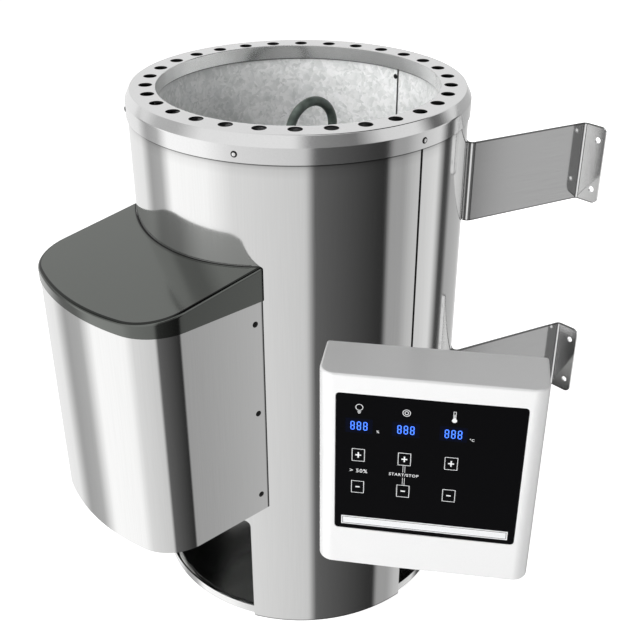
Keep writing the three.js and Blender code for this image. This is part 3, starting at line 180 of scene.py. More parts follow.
class Finish:
    """A Principled material with procedural variation on Object coordinates."""

    def __init__(self, name, colour, metallic=0.0, roughness=0.5):
        self.material = bpy.data.materials.new(name)
        self.material.use_nodes = True
        self.nodes = self.material.node_tree.nodes
        self.links = self.material.node_tree.links
        self.shader = self.nodes["Principled BSDF"]
        self.shader.inputs["Base Color"].default_value = (*colour, 1)
        self.shader.inputs["Metallic"].default_value = metallic
        self.shader.inputs["Roughness"].default_value = roughness

    def coordinates(self, stretch=(1, 1, 1), shift=(0, 0, 0)):
        source = self.nodes.new("ShaderNodeTexCoord")
        mapping = self.nodes.new("ShaderNodeMapping")
        mapping.inputs["Scale"].default_value = stretch
        mapping.inputs["Location"].default_value = shift
        self.links.new(source.outputs["Object"], mapping.inputs["Vector"])
        return mapping.outputs["Vector"]

    def noise(self, scale, stretch=(1, 1, 1), detail=3.0):
        node = self.nodes.new("ShaderNodeTexNoise")
        node.inputs["Scale"].default_value = scale
        node.inputs["Detail"].default_value = detail
        self.links.new(self.coordinates(stretch), node.inputs["Vector"])
        return node.outputs[0]

    def cells(self, scale, at=None):
        node = self.nodes.new("ShaderNodeTexVoronoi")
        node.inputs["Scale"].default_value = scale
        self.links.new(at or self.coordinates(), node.inputs["Vector"])
        return node.outputs["Color"]

    def ramp(self, value, low, high, start=0.3, end=0.7):
        node = self.nodes.new("ShaderNodeValToRGB")
        node.color_ramp.elements[0].position = start
        node.color_ramp.elements[1].position = end
        node.color_ramp.elements[0].color = (*low, 1)
        node.color_ramp.elements[1].color = (*high, 1)
        self.links.new(value, node.inputs["Fac"])
        return node.outputs["Color"]

    def span(self, value, low, high):
        node = self.nodes.new("ShaderNodeMapRange")
        node.inputs["From Min"].default_value = 0.3
        node.inputs["From Max"].default_value = 0.7
        node.inputs["To Min"].default_value = low
        node.inputs["To Max"].default_value = high
        self.links.new(value, node.inputs["Value"])
        return node.outputs["Result"]

    def shaded(self, tone, value, start, end, stops):
        """Multiplies a tone by grey stops over a value's range."""
        span = self.nodes.new("ShaderNodeMapRange")
        span.inputs["From Min"].default_value = start
        span.inputs["From Max"].default_value = end
        self.links.new(value, span.inputs["Value"])
        ramp = self.nodes.new("ShaderNodeValToRGB")
        elements = ramp.color_ramp.elements
        elements[0].color = (*[stops[0]] * 3, 1)
        elements[1].color = (1, 1, 1, 1)
        for place, level in stops[1:]:
            elements.new(place).color = (level, level, level, 1)
        self.links.new(span.outputs["Result"], ramp.inputs["Fac"])
        mix = self.nodes.new("ShaderNodeMix")
        mix.data_type = "RGBA"
        mix.blend_type = "MULTIPLY"
        mix.inputs["Factor"].default_value = 1
        self.links.new(tone, mix.inputs["A"])
        self.links.new(ramp.outputs["Color"], mix.inputs["B"])
        return mix.outputs["Result"]

    def reach(self, stretch, shift=(0, 0, 0)):
        """The distance from the origin of the stretched and shifted coordinates."""
        node = self.nodes.new("ShaderNodeVectorMath")
        node.operation = "LENGTH"
        self.links.new(self.coordinates(stretch, shift), node.inputs[0])
        return node.outputs["Value"]

    def painted_joint_shade(self, tone, radius):
        """Paints shade into a tone in a narrow line round the Z axis, where a part meets the drum."""
        stops = (0.06, (0.5, 0.10), (0.75, 0.7))
        return self.shaded(tone, self.reach((1, 1, 0)), radius, radius + 0.0022, stops)

    def seamed(self, tone, radius):
        """Darkens a tone in a narrow upright line at the back of a drum."""
        near = 0.02
        reach = self.reach((1, near, 0), (0, -near * radius, 0))
        return self.shaded(tone, reach, 0, 0.0013, (0.04, (0.45, 0.06), (0.7, 0.75)))

    def height(self):
        node = self.nodes.new("ShaderNodeSeparateXYZ")
        self.links.new(self.coordinates(), node.inputs[0])
        return node.outputs["Z"]

    def under(self, tone, lip):
        """Paints a lip's shadow into a tone: a narrow line and a soft band below the height of the lip."""
        stops = (0.12, (0.09, 0.18), (0.16, 0.72), (0.4, 0.9))
        return self.shaded(tone, self.height(), lip, lip - 0.012, stops)

    def sheared_and_shaded_edges(self, tone, low, high):
        """Darkens a tone at a lower and an upper height: on a strap its sheared edges, on a sheet that stands on the
        floor the painted contact shade at its foot.
        """
        stops = (0.15, (0.4, 0.3), (0.7, 0.85))
        tone = self.shaded(tone, self.height(), low, low + 0.0016, stops)
        return self.shaded(tone, self.height(), high, high - 0.0016, stops)

    def colour_from(self, socket):
        self.links.new(socket, self.shader.inputs["Base Color"])
        return self

    def roughness_from(self, value, low, high):
        self.links.new(self.span(value, low, high), self.shader.inputs["Roughness"])
        return self

    def bump_from(self, value, distance, strength=0.5):
        node = self.nodes.new("ShaderNodeBump")
        node.inputs["Distance"].default_value = distance
        node.inputs["Strength"].default_value = strength
        self.links.new(value, node.inputs["Height"])
        self.links.new(node.outputs["Normal"], self.shader.inputs["Normal"])
        return self


def shades(colour, share):
    """A darker and a lighter shade of a colour."""
    return [c * (1 - share) for c in colour], [min(c * (1 + share), 1) for c in colour]


def brushed_steel(name, colour, rough, stretch, share=0.05, metal=1.0, lip=None, joint=None, edges=None):
    """Sheet with fine lines along the axis that the stretch leaves long.
    It has painted shade under a lip and at a joint round the Z axis, and is darker at the heights of two edges: a
    strap's sheared edges, and a standing sheet's painted contact shade at the floor."""
    finish = Finish(name, colour, metal, rough)
    grain = finish.noise(900, stretch, 4)
    tone = finish.ramp(grain, *shades(colour, share))
    if lip:
        tone = finish.under(tone, lip)
    if joint:
        tone = finish.painted_joint_shade(tone, joint)
    if edges:
        tone = finish.sheared_and_shaded_edges(tone, *edges)
    finish.colour_from(tone)
    finish.roughness_from(grain, rough * 0.85, rough * 1.2)
    finish.bump_from(grain, 0.00001, 0.25)
    return finish.material


def galvanised(name, colour, lip, seam):
    """Zinc in fine spangles and clouds, with painted shade under a lip and a dark line along a seam at the back."""
    finish = Finish(name, colour, 0.1, 0.42)
    cloud = finish.noise(75, detail=8)
    warp = finish.nodes.new("ShaderNodeMix")
    warp.data_type = "VECTOR"
    warp.inputs["Factor"].default_value = 0.016
    finish.links.new(finish.coordinates(), warp.inputs["A"])
    finish.links.new(cloud.node.outputs["Color"], warp.inputs["B"])
    spangle = finish.cells(320, at=warp.outputs["Result"])
    mix = finish.nodes.new("ShaderNodeMix")
    mix.data_type = "RGBA"
    mix.inputs["Factor"].default_value = 0.58
    finish.links.new(spangle, mix.inputs["A"])
    finish.links.new(cloud, mix.inputs["B"])
    tone = finish.ramp(mix.outputs["Result"], *shades(colour, 0.16), 0.30, 0.66)
    finish.colour_from(finish.seamed(finish.under(tone, lip), seam))
    finish.roughness_from(spangle, 0.36, 0.50)
    finish.bump_from(cloud, 0.0001, 0.25)
    return finish.material


def moulded(name, colour, rough, grain_scale, depth, shine=0.5, share=0.06):
    finish = Finish(name, colour, 0.0, rough)
    grain = finish.noise(grain_scale, detail=2)
    finish.colour_from(finish.ramp(grain, *shades(colour, share)))
    finish.roughness_from(grain, rough * 0.9, rough * 1.12)
    finish.bump_from(grain, depth, 0.3)
    finish.shader.inputs["Specular IOR Level"].default_value = shine
    return finish.material


def lacquered(name, colour, joint=None):
    """Dark metallic lacquer that mirrors softly, with near-black painted shade in a joint round the Z axis."""
    finish = Finish(name, colour, 1.0, 0.13)
    flake = finish.noise(2600, detail=2)
    tone = finish.ramp(flake, *shades(colour, 0.05))
    finish.colour_from(finish.painted_joint_shade(tone, joint) if joint else tone)
    finish.roughness_from(flake, 0.11, 0.15)
    finish.bump_from(flake, 0.000002, 0.2)
    return finish.material


def oxidised(name, colour, metallic=0.6, rough=0.42):
    finish = Finish(name, colour, metallic, rough)
    stain = finish.noise(120, detail=5)
    low, high = shades(colour, 0.45)
    finish.colour_from(finish.ramp(stain, low, high))
    finish.roughness_from(stain, rough * 0.8, rough * 1.3)
    return finish.material


def lit(name, colour, strength):
    finish = Finish(name, colour, 0.0, 0.3)
    glow = finish.noise(400)
    finish.colour_from(finish.ramp(glow, *shades(colour, 0.08)))
    finish.shader.inputs["Emission Color"].default_value = (*colour, 1)
    finish.shader.inputs["Emission Strength"].default_value = strength
    return finish.material


def finishes():
    """Every finish of the heater by name, made once."""
    if "shell" in finishes.made:
        return finishes.made
    c = colours()
    made = finishes.made
    s = sizes()
    upright, along, even = (1, 1, 0.02), (0.03, 0.03, 1), (1, 1, 1)
    whole = (0, s.height)
    collar = s.height - s.collar_height
    # The drum's finish has painted shade: the collar's shadow below its lip, and a contact shade line where it stands
    # on the floor.
    made["shell"] = brushed_steel(
        "polished_drum", c.steel, 0.075, upright, 0.015, lip=collar, edges=whole
    )
    # The pan's finish has a painted contact shade line where it stands on the floor.
    made["pan"] = brushed_steel("polished_pan", c.steel, 0.075, upright, 0.015, edges=whole)
    # The wrap's finish has painted shade where the wrap meets the drum.
    made["wrap"] = brushed_steel("polished_wrap", c.steel, 0.075, upright, 0.015, joint=s.shell_radius)
    # Near-black finish for the inner faces and cut edges of the sheets.
    made["dark_inside"] = oxidised("stained_inside", (0.018, 0.018, 0.018), 0.4, 0.5)
    made["bolt"] = brushed_steel("bright_screw", (0.86, 0.86, 0.86), 0.12, even, 0.03)
    made["ring"] = brushed_steel("pressed_ring", c.ring, 0.13, even, 0.02)
    made["skirt"] = brushed_steel("satin_skirt", c.ring, 0.13, even, 0.02, 0.8)
    made["shield"] = brushed_steel("dark_shield", (0.42, 0.42, 0.41), 0.17, even, 0.03)
    for node in ("bracket_upper", "bracket_lower"):
        low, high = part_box(node)
        made[node] = brushed_steel(
            "satin_" + node, c.bracket, 0.09, along, 0.03, 0.97, edges=(low.z, high.z)
        )
    made["sheet"] = brushed_steel("plain_sheet", (0.52, 0.53, 0.54), 0.36, (1, 1, 0.05))
    made["screw"] = oxidised("screw_head", c.screw, 0.8, 0.3)
    # The liner's finish has the skirt's shadow painted below the lip.
    made["zinc"] = galvanised(
        "galvanised_liner", c.zinc, s.height - s.skirt_height, s.mouth_radius
    )
    made["sheath"] = oxidised("element_sheath", c.sheath, 0.35, 0.38)
    made["dark"] = moulded("black_enamel", (0.010, 0.011, 0.011), 0.2, 500, 0.00001)
    # The lid's finish has near-black painted shade where the lid meets the drum.
    made["lid"] = lacquered("grey_green_lid", c.lid, s.shell_radius)
    # A darker lacquer for the lid's rounded edge: a painted dark reflection.
    made["lid_edge"] = lacquered("worn_lid_edge", shades(c.lid, 0.75)[0])
    made["hood"] = moulded("white_hood", c.hood, 0.22, 1500, 0.000002, share=0.015)
    made["black"] = moulded("black_plastic", c.black, 0.45, 1800, 0.00002)
    made["glass"] = moulded("dark_panel", c.glass, 0.12, 700, 0.000001, 0.04)
    made["window"] = moulded("display_window", (0.002, 0.003, 0.010), 0.2, 700, 0.000001, 0.04)
    made["ceramic"] = moulded("ceramic", (0.80, 0.77, 0.70), 0.3, 900, 0.00001)
    made["red"] = moulded("red_button", (0.55, 0.03, 0.03), 0.3, 1200, 0.000005)
    made["board"] = moulded("circuit_board", c.board, 0.4, 600, 0.00001)
    made["digits"] = lit("lit_digits", c.digits, 1.6)
    made["ink"] = moulded("white_ink", c.ink, 0.4, 1500, 0.000001)
    return made


finishes.made = {}


def rounded_shading(obj, angle=32):
    """Smooth shading that stops at edges sharper than the angle."""
    group = bpy.data.node_groups.get("smooth_by_angle")
    if group is None:
        group = bpy.data.node_groups.new("smooth_by_angle", "GeometryNodeTree")
        group.interface.new_socket("Geometry", in_out="INPUT", socket_type="NodeSocketGeometry")
        group.interface.new_socket("Geometry", in_out="OUTPUT", socket_type="NodeSocketGeometry")
        start = group.nodes.new("NodeGroupInput")
        faces = group.nodes.new("GeometryNodeSetShadeSmooth")
        edges = group.nodes.new("GeometryNodeSetShadeSmooth")
        edges.domain = "EDGE"
        edges.inputs["Shade Smooth"].default_value = False
        bend = group.nodes.new("GeometryNodeInputMeshEdgeAngle")
        sharp = group.nodes.new("FunctionNodeCompare")
        sharp.operation = "GREATER_THAN"
        sharp.inputs["B"].default_value = math.radians(angle)
        end = group.nodes.new("NodeGroupOutput")
        group.links.new(start.outputs[0], faces.inputs["Geometry"])
        group.links.new(faces.outputs["Geometry"], edges.inputs["Geometry"])
        group.links.new(bend.outputs["Unsigned Angle"], sharp.inputs["A"])
        group.links.new(sharp.outputs["Result"], edges.inputs["Selection"])
        group.links.new(edges.outputs["Geometry"], end.inputs[0])
    obj.modifiers.new("Shading", "NODES").node_group = group
    weighted = obj.modifiers.new("Normals", "WEIGHTED_NORMAL")
    weighted.keep_sharp = True


def dress(node, finish, edge=0.0003):
    """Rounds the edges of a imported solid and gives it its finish."""
    obj = frame["nodes"][node]
    if not obj.material_slots:
        obj.data.materials.append(None)
    for slot in obj.material_slots:
        slot.material = finishes()[finish]
    weld = obj.modifiers.new("Weld", "WELD")
    weld.merge_threshold = 2e-6
    flat = obj.modifiers.new("Flat faces", "DECIMATE")
    flat.decimate_type = "DISSOLVE"
    flat.angle_limit = math.radians(1)
    if edge:
        bevel = obj.modifiers.new("Edge", "BEVEL")
        bevel.width = edge
        bevel.segments = 2
        bevel.limit_method = "ANGLE"
        bevel.angle_limit = math.radians(34)
        bevel.harden_normals = False
        closed = obj.modifiers.new("Closed edges", "WELD")
        closed.merge_threshold = 2e-6
    rounded_shading(obj)
    return obj


def piece(name, bm, finish, replaced=(), body=ROOT, wall=0.0, inner=None):
    """Turns a bmesh into a piece that rides on a body."""
    mesh = bpy.data.meshes.new(name)
    bm.to_mesh(mesh)
    bm.free()
    obj = bpy.data.objects.new(name, mesh)
    bpy.context.scene.collection.objects.link(obj)
    mesh.materials.append(finishes()[finish])
    if wall:
        solid = obj.modifiers.new("Wall", "SOLIDIFY")
        solid.thickness = wall
        solid.offset = -1
        solid.use_even_offset = True
        if inner:
            mesh.materials.append(finishes()[inner])
            solid.material_offset = 1
            solid.material_offset_rim = 1
    rounded_shading(obj)
    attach(obj, body)
    if replaced:
        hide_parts(*replaced)
    return obj


def polar(radius, azimuth, z):
    return Vector((radius * math.sin(azimuth), -radius * math.cos(azimuth), z))


def face_outwards(bm, away_from=None):
    """Turns an open sheet so that it faces away from a point or the Z axis."""
    bmesh.ops.recalc_face_normals(bm, faces=bm.faces)
    face = max(bm.faces, key=lambda f: f.calc_area())
    middle = face.calc_center_median()
    out = middle - Vector(away_from) if away_from else Vector((middle.x, middle.y, 0))
    if face.normal.dot(out) < 0:
        bmesh.ops.reverse_faces(bm, faces=bm.faces)


def rolled_sheet(corners, rounded, radius, joggle, columns):
    """A flat blank of (arc length, height) corners, rounded at some, rolled round the Z axis.
    The joggle is (start, end, step): from start to end along the arc the radius changes by step."""
    bm = bmesh.new()
    verts = [bm.verts.new((s, 0, z)) for s, z in corners]
    bm.faces.new(verts)
    for index, r in rounded:
        bmesh.ops.bevel(
            bm,
            geom=[verts[index]],
            offset=r,
            segments=6,
            profile=0.5,
            affect="VERTICES",
            material=-1,
        )
    low = min(s for s, _ in corners)
    high = max(s for s, _ in corners)
    stations = [low + (high - low) * i / columns for i in range(1, columns)]
    stations += [joggle[0], joggle[1]] if joggle else []
    for s in stations:
        bmesh.ops.bisect_plane(
            bm,
            geom=bm.verts[:] + bm.edges[:] + bm.faces[:],
            plane_co=(s, 0, 0),
            plane_no=(1, 0, 0),
        )
    bmesh.ops.dissolve_degenerate(bm, dist=1e-6, edges=bm.edges)
    for v in bm.verts:
        at = radius
        if joggle:
            share = (v.co.x - joggle[0]) / (joggle[1] - joggle[0])
            at += joggle[2] * min(max(share, 0), 1)
        v.co = polar(at, v.co.x / radius, v.co.z)
    return bm


def spun(points, steps=120):
    """A profile of (radius, height) points spun round the Z axis."""
    bm = bmesh.new()
    verts = [bm.verts.new((0, -r, z)) for r, z in points]
    edges = [bm.edges.new(pair) for pair in zip(verts, verts[1:])]
    bmesh.ops.spin(
        bm,
        geom=verts + edges,
        cent=(0, 0, 0),
        axis=(0, 0, 1),
        angle=2 * math.pi,
        steps=steps,
        use_merge=True,
    )
    bmesh.ops.remove_doubles(bm, verts=bm.verts, dist=1e-6)
    return bm


def extrude_loop(bm, edges, move):
    """Extrudes edges and moves the new ones by a function of a point; returns the new edges."""
    made = bmesh.ops.extrude_edge_only(bm, edges=edges)["geom"]
    for v in made:
        if isinstance(v, bmesh.types.BMVert):
            v.co = move(v.co)
    return [e for e in made if isinstance(e, bmesh.types.BMEdge)]


def spin_loop(bm, edges, centre, axis, angle, steps):
    made = bmesh.ops.spin(
        bm, geom=edges, cent=centre, axis=axis, angle=angle, steps=steps, use_merge=False
    )["geom_last"]
    return [e for e in made if isinstance(e, bmesh.types.BMEdge)]


def soften(bm, edges, offset, segments=3):
    bmesh.ops.bevel(
        bm,
        geom=edges,
        offset=offset,
        segments=segments,
        profile=0.5,
        affect="EDGES",
        material=-1,
    )


class HEATER_OT_shell(bpy.types.Operator):
    """Three rolled panels with a leg, an air inlet and a joggled lap each"""

    bl_idname = "heater.shell"
    bl_label = "Shell"

    def execute(self, context):
        s = sizes()
        arc = 2 * math.pi / 3
        r = s.shell_radius
        half_seam = 0.0003
        names = ("shell_panel_front", "shell_panel_rear", "shell_panel_left")
        for i, name in enumerate(names):
            start = (s.first_seam + i * arc) * r
            end = start + arc * r
            foot = start + (arc - s.leg_arc) * r
            lap = end + s.lap_arc * r
            lap_z = s.inlet_height + s.inlet_corner
            corners = [
                (start + half_seam, s.inlet_height),
                (foot, s.inlet_height),
                (foot, 0),
                (end - half_seam, 0),
                (end - half_seam, lap_z),
                (lap, lap_z),
                (lap, s.shell_top),
                (start + half_seam, s.shell_top),
            ]
            step = (end - 0.0022, end - half_seam, -(s.sheet + s.clearance))
            rounded = [(1, s.inlet_corner), (2, s.leg_corner), (3, s.leg_corner)]
            bm = rolled_sheet(corners, rounded, r, step, 48)
            face_outwards(bm)
            piece(name + "_sheet", bm, "shell", [name], ROOT, s.sheet, "dark_inside")
        return {"FINISHED"}


class HEATER_OT_top_ring(bpy.types.Operator):
    """Pressed ring with a chamfer, an inner skirt and a circle of vent holes"""

    bl_idname = "heater.top_ring"
    bl_label = "Top ring"

    def execute(self, context):
        s = sizes()
        outer = s.shell_radius + s.clearance + s.sheet
        flat = outer - s.chamfer_width
        inner = s.mouth_radius
        half = math.pi / s.vent_count
        sides = 6
        bm = bmesh.new()
        turn = Matrix.Translation((0, -s.vent_circle, s.height))
        hole = bmesh.ops.create_circle(bm, segments=4 * sides, radius=s.vent_radius, matrix=turn)
        hole_edges = list({e for v in hole["verts"] for e in v.link_edges})
        rim = [polar(inner, -half + 2 * half * k / sides, s.height) for k in range(sides)]
        rim += [polar(inner + (flat - inner) * k / sides, half, s.height) for k in range(sides)]
        rim += [polar(flat, half - 2 * half * k / sides, s.height) for k in range(sides)]
        rim += [polar(flat - (flat - inner) * k / sides, -half, s.height) for k in range(sides)]
        verts = [bm.verts.new(p) for p in rim]
        rim_edges = [bm.edges.new((a, b)) for a, b in zip(verts, verts[1:] + verts[:1])]
        bmesh.ops.bridge_loops(bm, edges=hole_edges + rim_edges)
        bmesh.ops.spin(
            bm,
            geom=bm.verts[:] + bm.edges[:] + bm.faces[:],
            cent=(0, 0, 0),
            axis=(0, 0, 1),
            angle=2 * math.pi * (s.vent_count - 1) / s.vent_count,
            steps=s.vent_count - 1,
            use_duplicate=True,
        )
        bmesh.ops.remove_doubles(bm, verts=bm.verts, dist=2e-6)

        def border(radius):
            return [
                e
                for e in bm.edges
                if e.is_boundary
                and all(abs(v.co.xy.length - radius) < 1e-5 for v in e.verts)
                and all(abs(v.co.z - s.height) < 1e-6 for v in e.verts)
            ]

        def at(radius, z):
            return lambda p: Vector((p.x, p.y, 0)).normalized() * radius + Vector((0, 0, z))

        mouth = border(inner)
        brim = border(flat)
        waist = extrude_loop(bm, brim, at(outer, s.height - s.chamfer_height))
        extrude_loop(bm, waist, at(outer, s.height - s.collar_height))
        hem = extrude_loop(bm, mouth, at(inner, s.height - s.skirt_height))
        for edge in hem:
            for face in edge.link_faces:
                face.material_index = 2
        bmesh.ops.recalc_face_normals(bm, faces=bm.faces)
        if max(bm.faces, key=lambda f: abs(f.normal.z)).normal.z < 0:
            bmesh.ops.reverse_faces(bm, faces=bm.faces)
        soften(bm, [e for e in mouth + brim + waist if e.is_valid], 0.0007)
        ring = piece("top_ring_sheet", bm, "ring", ["top_ring"], ROOT, s.sheet, "dark_inside")
        ring.data.materials.append(finishes()["skirt"])
        return {"FINISHED"}


class HEATER_OT_liner(bpy.types.Operator):
    """Galvanised liner of the stone chamber with its riveted seam"""

    bl_idname = "heater.liner"
    bl_label = "Liner"

    def execute(self, context):
        s = sizes()
        r = s.mouth_radius + s.sheet + s.clearance
        low = s.chamber_floor + s.clearance
        high = s.height - s.sheet - s.clearance
        start = math.pi * r + 0.0004
        end = start + 2 * math.pi * r - 0.0008
        lap = end + math.radians(4) * r
        corners = [(start, low), (lap, low), (lap, high), (start, high)]
        step = (end - 0.0009, end - 0.0005, s.liner_sheet + 2 * s.clearance)
        bm = rolled_sheet(corners, [], r, step, 120)
        face_outwards(bm)
        bmesh.ops.reverse_faces(bm, faces=bm.faces)
        seam = math.pi + math.radians(4 / 3)
        piece("liner_sheet", bm, "zinc", ["liner"], wall=s.liner_sheet)
        bm = bmesh.new()
        for i in range(4):
            place = polar(r, seam, s.height - 0.0205 - i * 0.098)
            head = bmesh.ops.create_uvsphere(bm, u_segments=12, v_segments=8, radius=0.0024)["verts"]
            squash = Matrix.Diagonal((1, 0.5, 1, 1))
            turn = Matrix.Translation(place) @ Matrix.Rotation(seam, 4, "Z") @ squash
            bmesh.ops.transform(bm, matrix=turn, verts=head)
        piece("liner_rivets", bm, "screw", ["liner"])
        return {"FINISHED"}


class HEATER_OT_elements(bpy.types.Operator):
    """Three hairpin heating elements"""

    bl_idname = "heater.elements"
    bl_label = "Elements"

    def execute(self, context):
        s = sizes()
        front = s.rod_set_back - s.rod_span / 2
        rear = s.rod_set_back + s.rod_span / 2
        arch = s.rod_span / 2
        low, high, bend = s.rod_low, s.rod_low + s.rod_rise, s.rod_bend
        across = (1, 0, 0)
        for name, side in (("left", -1), ("centre", 0), ("right", 1)):
            x = side * s.rod_pitch
            top = s.rod_side_top if side else s.rod_top
            bm = bmesh.new()
            place = Matrix.Translation((x, -s.rod_end, high)) @ Matrix.Rotation(math.pi / 2, 4, "X")
            bmesh.ops.create_circle(bm, segments=16, radius=s.rod_diameter / 2, matrix=place)
            loop = bm.edges[:]

            def straight(edges, dy, dz):
                return extrude_loop(bm, edges, lambda p: p + Vector((0, dy, dz)))

            loop = straight(loop, s.rod_end + front - bend, 0)
            centre = (x, front - bend, high + bend)
            loop = spin_loop(bm, loop, centre, across, math.pi / 2, 8)
            loop = straight(loop, 0, top - arch - high - bend)
            loop = spin_loop(bm, loop, (x, s.rod_set_back, top - arch), across, -math.pi, 24)
            loop = straight(loop, 0, -(top - arch - low - bend))
            centre = (x, rear - bend, low + bend)
            loop = spin_loop(bm, loop, centre, across, -math.pi / 2, 8)
            loop = straight(loop, -(s.rod_end + rear - bend), 0)
            bmesh.ops.remove_doubles(bm, verts=bm.verts, dist=1e-6)
            bmesh.ops.holes_fill(bm, edges=[e for e in bm.edges if e.is_boundary], sides=0)
            ends = [f for f in bm.faces if len(f.verts) == 16]
            bmesh.ops.inset_individual(bm, faces=ends, thickness=0.00225)
            pins = bmesh.ops.extrude_discrete_faces(bm, faces=ends)["faces"]
            for face in pins:
                bmesh.ops.translate(bm, vec=(0, -0.011, 0), verts=face.verts)
            bmesh.ops.recalc_face_normals(bm, faces=bm.faces)
            node = "heating_element_" + name
            piece(node + "_rod", bm, "sheath", [node])
        return {"FINISHED"}


class HEATER_OT_base(bpy.types.Operator):
    """Base pan, heat shield, grate and the ring that carries the chamber"""

    bl_idname = "heater.base"
    bl_label = "Base"

    def execute(self, context):
        s = sizes()
        r = s.shell_radius - s.sheet - s.clearance
        bm = spun([(0, 0), (r, 0), (r, s.pan_rim)], 144)
        corner = [e for e in bm.edges if not e.is_boundary and e.calc_face_angle(0) > 1]
        soften(bm, corner, 0.003, 4)
        bmesh.ops.recalc_face_normals(bm, faces=bm.faces)
        if max(bm.faces, key=lambda f: abs(f.normal.z)).normal.z > 0:
            bmesh.ops.reverse_faces(bm, faces=bm.faces)
        piece("base_pan_sheet", bm, "pan", ["base_pan"], wall=0.0015)
        dress("heat_shield", "shield", 0.0002)
        dress("carrier_ring", "dark", 0.0002)
        dress("stone_grate", "dark", 0)
        return {"FINISHED"}


def plan_corner(inset):
    """Corner centre, corner radius and meeting angle of the box's plan, moved in by the inset."""
    s = sizes()
    half, radius = s.box_half - inset, s.box_corner - inset
    bow = s.box_bow - inset
    bow_y = s.box_bow - s.box_front
    x = half - radius
    y = bow_y - math.sqrt((bow - radius) ** 2 - x**2)
    return half, radius, x, y, bow_y, math.atan2(y - bow_y, x)


def plan_path(bm, inset, drum, close):
    """The box's plan from the drum round the front and back to the drum; closed along the drum or open."""
    half, radius, x, y, bow_y, meet = plan_corner(inset)
    back = -math.sqrt(drum**2 - half**2)
    up = (0, 0, 1)
    first = bm.verts.new((half, back, 0))
    corner = bm.verts.new((half, y, 0))
    edges = [bm.edges.new((first, corner))]

    def swing(vert, centre, angle, steps):
        made = bmesh.ops.spin(
            bm, geom=[vert], cent=(*centre, 0), axis=up, angle=angle, steps=steps
        )["geom_last"]
        return next(v for v in made if isinstance(v, bmesh.types.BMVert))

    before = set(bm.edges)
    vert = swing(corner, (x, y), meet, 14)
    vert = swing(vert, (0, bow_y), -math.pi - 2 * meet, 20)
    vert = swing(vert, (-x, y), meet, 14)
    last = bm.verts.new((-half, back, 0))
    edges.append(bm.edges.new((vert, last)))
    if close:
        edge = math.atan2(back, half)
        vert = swing(last, (0, 0), math.pi + 2 * edge, 24)
        bmesh.ops.pointmerge(bm, verts=[vert, first], merge_co=first.co)
    return [e for e in edges if e.is_valid] + [e for e in bm.edges if e not in before and e not in edges]


class HEATER_OT_connection_box(bpy.types.Operator):
    """Bowed wrap and sloping lid of the connection box"""

    bl_idname = "heater.connection_box"
    bl_label = "Connection box"

    def execute(self, context):
        s = sizes()
        drum = s.shell_radius + s.clearance
        bm = bmesh.new()
        path = plan_path(bm, 0, drum, False)
        bmesh.ops.translate(bm, vec=(0, 0, s.box_bottom), verts=bm.verts)
        extrude_loop(bm, path, lambda p: Vector((p.x, p.y, s.box_top)))
        face_outwards(bm, (0, -0.15, 0.25))
        piece("box_wrap_sheet", bm, "wrap", ["box_wrap"], ROOT, s.sheet, "dark_inside")

        side_y = -math.sqrt(drum**2 - s.box_half**2)
        fall = (s.lid_back - s.lid_front) / (s.box_front + side_y)

        def lid_top(y):
            return s.box_top + s.lid_back + (y - side_y) * fall

        bm = bmesh.new()
        steps = 6
        levels = [(0.0, None)]
        for k in range(steps + 1):
            a = k * math.pi / 2 / steps
            levels.append((s.lid_round * (1 - math.cos(a)), s.lid_round * (1 - math.sin(a))))
        loops = []
        for inset, drop in levels:
            known = set(bm.verts)
            loop = plan_path(bm, inset - s.lid_over, drum, True)
            for v in bm.verts:
                if v not in known:
                    v.co.z = s.box_top + s.clearance if drop is None else lid_top(v.co.y) - drop
            loops.append(loop)
        for index, (low, high) in enumerate(zip(loops, loops[1:])):
            made = bmesh.ops.bridge_loops(bm, edges=low + high)["faces"]
            for face in made:
                on_drum = face.calc_center_median().xy.length < drum + 0.0005
                # The upper half of the rounding, away from the drum, takes the painted dark reflection.
                face.material_index = 1 if index > steps / 2 and not on_drum else 0
        for face in bmesh.ops.contextual_create(bm, geom=loops[-1])["faces"]:
            face.material_index = 0
        face_outwards(bm, (0, -0.19, 0.36))
        lid = piece("box_lid_shell", bm, "lid", ["box_lid"], wall=0.0024)
        # The second finish is the painted dark reflection on the lid's rounded edge.
        lid.data.materials.append(finishes()["lid_edge"])
        for node in ("box_floor", "box_flange_left", "box_flange_right", "equipment_plate"):
            dress(node, "sheet", 0.0002)
        dress("terminal_block", "ceramic")
        return {"FINISHED"}


